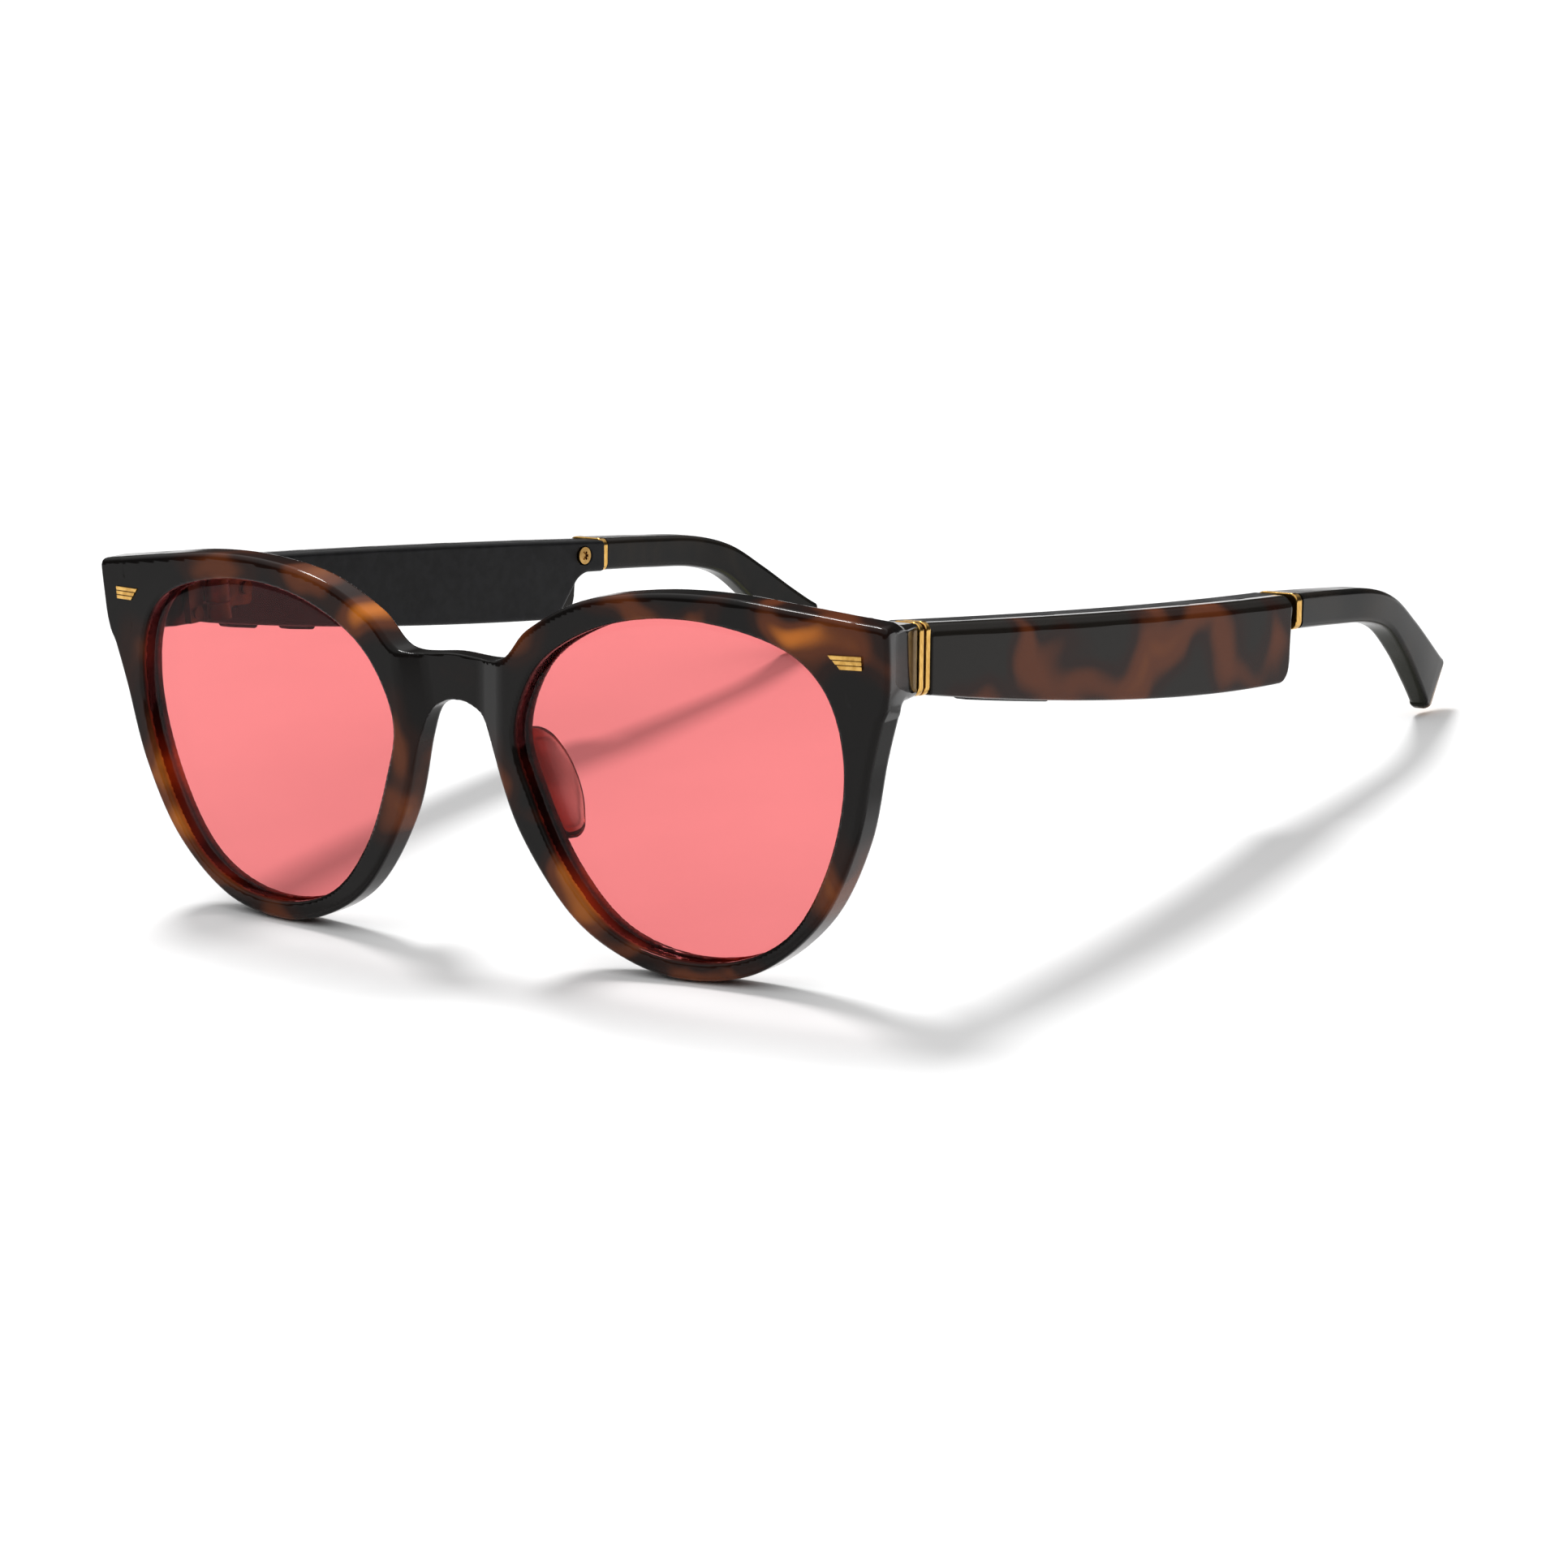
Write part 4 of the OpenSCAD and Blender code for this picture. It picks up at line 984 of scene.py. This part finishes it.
def make_tip(side, materials):
    """A tapering bar of soft section along a bent line, with an end that is rounder below."""
    path, sizes = open_curve(TIP_LINE, 12), open_curve(TIP_SIZES, 12)
    corner, below, above = 0.95, 2.2, 0.7
    end = len(path) - 1
    stations = tip_stations(end)
    rows, under, edge, cap = [], [], [], []
    for i, shrink, pull in stations:
        run = path[min(i + 1, end)] - path[max(i - 1, 0)]
        run /= np.linalg.norm(run)
        across = np.cross(run, (0, 0, 1))
        across /= np.linalg.norm(across)
        up = np.cross(across, run)
        w, h = sizes[i]
        bend = smooth((i - TIP_BEND) / 12)
        inset = above * 0.6 * shrink
        for a, b in round_loop(w - 2 * inset, h, corner - 0.3 * shrink):
            low = 0.5 - b / h
            pull_here = pull * (above + (below - above) * low)
            b += shrink * (below * max(0.0, low - 0.5) - above * max(0.0, 0.5 - low)) * 2
            rows.append(path[i] - run * pull_here + a * across + b * up)
            # Masks for the colour layers: under is the underside of the bend, edge places the painted
            # highlight on the lower outer edge, cap places the painted glow on the end
            under.append(smooth((0.45 - b - h / 2) / 0.3) * bend)
            edge.append(smooth((0.35 - a - w / 2) / 0.25) * smooth((0.5 - b - h / 2) / 0.3) * bend)
            cap.append(smooth(shrink / 0.3) if i == end else 0.0)
    n = len(round_loop(1, 1, 0.1))
    piece = add_piece(f"tip_shell_{NAMES[side]}", np.array(rows), loft_faces(len(stations), n), side,
                      attributes={"under": under, "edge": edge, "cap": cap})
    sharpen(piece, 40)
    finish_piece(piece, f"{NAMES[side]}_temple", f"tip_{NAMES[side]}", "dark_tip", materials)


def tip_ring_field(x, y, z):
    band = round_rect(x, z, (TIP_LINE[0][0], TIP_LINE[0][2]), (6.7, 5.0), 1.2)
    hole = np.hypot(x - TANG_X, z - TIP_LINE[0][2]) - 0.75
    return both(np.maximum(band, -hole), slab(y, *TIP_RING_Y), 0.16)


def make_tips(materials):
    ring = skin(tip_ring_field, (58.8, 97.2, 8.4), (66.2, 99.2, 14.0), (0.18, 0.12, 0.18))
    for side in (LEFT, RIGHT):
        make_tip(side, materials)
        piece = field_piece(f"tip_band_{NAMES[side]}", ring, as_worn, side)
        finish_piece(piece, f"{NAMES[side]}_temple", f"tip_ring_{NAMES[side]}", "gold_trim", materials)


# ---- Pieces that stay as the frame has them --------------------------------------------------------
# Each has its slot and the width of the bevel on its edges.
KEPT = {
    # The gold_hinge slot is gold with painted shade, for the hinge leaves, their screws and rivets
    "front_hinge_leaf": ("gold_hinge", 0.12), "hinge_screw": ("gold_screw", 0.08),
    "temple_hinge_leaf": ("gold_hinge", 0.12), "temple_leaf_screws": ("gold_hinge", 0.1),
    "circuit_board": ("board", 0.06), "battery": ("battery_foil", 0.35), "speaker": ("speaker_case", 0.2),
    "speaker_mesh": ("steel_mesh", 0), "microphone": ("microphone_can", 0.08),
    "tip_core": ("core_wire", 0.05), "tip_screw": ("gold_screw", 0.08),
}
KEPT_ONCE = {
    "front_leaf_rivets": ("gold_hinge", 0.1), "volume_switches": ("switch_case", 0.08),
    "action_switches": ("switch_case", 0.08), "charging_plate": ("contact_carrier", 0.12),
    "charging_contacts": ("contact_gold", 0.1), "status_light": ("light_guide", 0.05),
}


def finish_kept(materials):
    nodes = dict(KEPT_ONCE)
    for name, look in KEPT.items():
        for side in NAMES.values():
            nodes[f"{name}_{side}"] = look
    for name, (slot, width) in nodes.items():
        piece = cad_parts[name]
        piece.data.materials.clear()
        piece.data.materials.append(materials[slot])
        if width:
            bevel(piece, width, 35)


# ---- Stage ---------------------------------------------------------------------------------------
def make_floor():
    """A white disc that fills the view; past it the world is white as well on the far side."""
    mesh = bpy.data.meshes.new("floor")
    count, radius = 96, 0.55
    rim = [(radius * math.cos(2 * math.pi * k / count), radius * math.sin(2 * math.pi * k / count), 0)
           for k in range(count)]
    mesh.from_pydata(rim, [], [list(range(count))])
    floor = bpy.data.objects.new("floor", mesh)
    bpy.context.scene.collection.objects.link(floor)
    floor.location.z = -0.00005
    material, tree, shader = new_material("studio_white")
    coords = object_coords(tree)
    paper = ramp(tree, noise(tree, coords, 40), [(0.3, (0.89, 0.89, 0.89)), (0.7, (0.91, 0.91, 0.91))])
    tree.links.new(paper, shader.inputs["Base Color"])
    shader.inputs["Roughness"].default_value = 1.0
    shader.inputs["Specular IOR Level"].default_value = 0.0
    mesh.materials.append(material)


def make_lights():
    """A key from behind on the left, and a world that is white overhead and low down at the back."""
    towards_key = Vector((-0.5, 0.41, 1.0)).normalized()
    world = bpy.data.worlds.new("studio")
    bpy.context.scene.world = world
    world.use_nodes = True
    tree = world.node_tree
    ray = tree.nodes.new("ShaderNodeTexCoord").outputs["Generated"]
    split = tree.nodes.new("ShaderNodeSeparateXYZ")
    tree.links.new(ray, split.inputs[0])
    height = split.outputs["Z"]
    ceiling = remap(tree, height, 0.3, 0.62, 0.05, 0.98)
    side = add(tree, "ShaderNodeVectorMath", operation="DOT_PRODUCT")
    side.inputs[1].default_value = (-0.64, 0.77, 0)
    tree.links.new(ray, side.inputs[0])
    behind = maths(tree, "MULTIPLY", remap(tree, side.outputs["Value"], 0.6, 0.85, 0, 1.1),
                   remap(tree, height, -0.03, -0.08, 0, 1))
    tree.links.new(maths(tree, "MAXIMUM", ceiling, behind), tree.nodes["Background"].inputs["Strength"])
    tree.nodes["Background"].inputs["Color"].default_value = (1, 1, 1, 1)
    sun = bpy.data.lights.new("key", "SUN")
    sun.energy = 2.1
    sun.angle = math.radians(14)
    key = bpy.data.objects.new("key", sun)
    bpy.context.scene.collection.objects.link(key)
    key.rotation_euler = towards_key.to_track_quat("Z", "Y").to_euler()


def make_camera():
    """A long lens from the front and a little above, aimed by the worn frame's own axes."""
    azimuth, elevation, distance = math.radians(42.912), math.radians(6.782), 623.07
    yaw, pitch, roll = math.radians(38.907), math.radians(7.577), math.radians(0.660)
    spot = np.array([math.sin(azimuth) * math.cos(elevation), -math.cos(azimuth) * math.cos(elevation),
                     math.sin(elevation)]) * distance
    back = np.array([math.sin(yaw) * math.cos(pitch), -math.cos(yaw) * math.cos(pitch), math.sin(pitch)])
    right = np.array([math.cos(yaw), math.sin(yaw), 0])
    up = np.cross(right, -back)
    rolled_right = math.cos(roll) * right + math.sin(roll) * up
    rolled_up = math.cos(roll) * up - math.sin(roll) * right
    camera = bpy.data.cameras.new("camera")
    camera.sensor_width = 36.0
    camera.lens = 110.74
    camera.clip_start, camera.clip_end = 0.01, 50.0
    eye = bpy.data.objects.new("camera", camera)
    bpy.context.scene.collection.objects.link(eye)
    axes = [turned(a)[0] for a in (rolled_right, rolled_up, back)]
    matrix = Matrix(axes).transposed().to_4x4()
    matrix.translation = placed(spot)[0]
    eye.matrix_world = matrix
    bpy.context.scene.camera = eye
    bpy.context.scene.view_settings.view_transform = "Standard"


def main():
    materials = make_materials()
    make_front(materials)
    make_hinge_rings(materials)
    make_temples(materials)
    make_buttons(materials)
    make_tips(materials)
    for side in (LEFT, RIGHT):
        make_lens(side, materials)
        make_pad(side, materials)
        make_plaque(side, materials)
    finish_kept(materials)
    make_floor()
    make_lights()
    make_camera()


main()
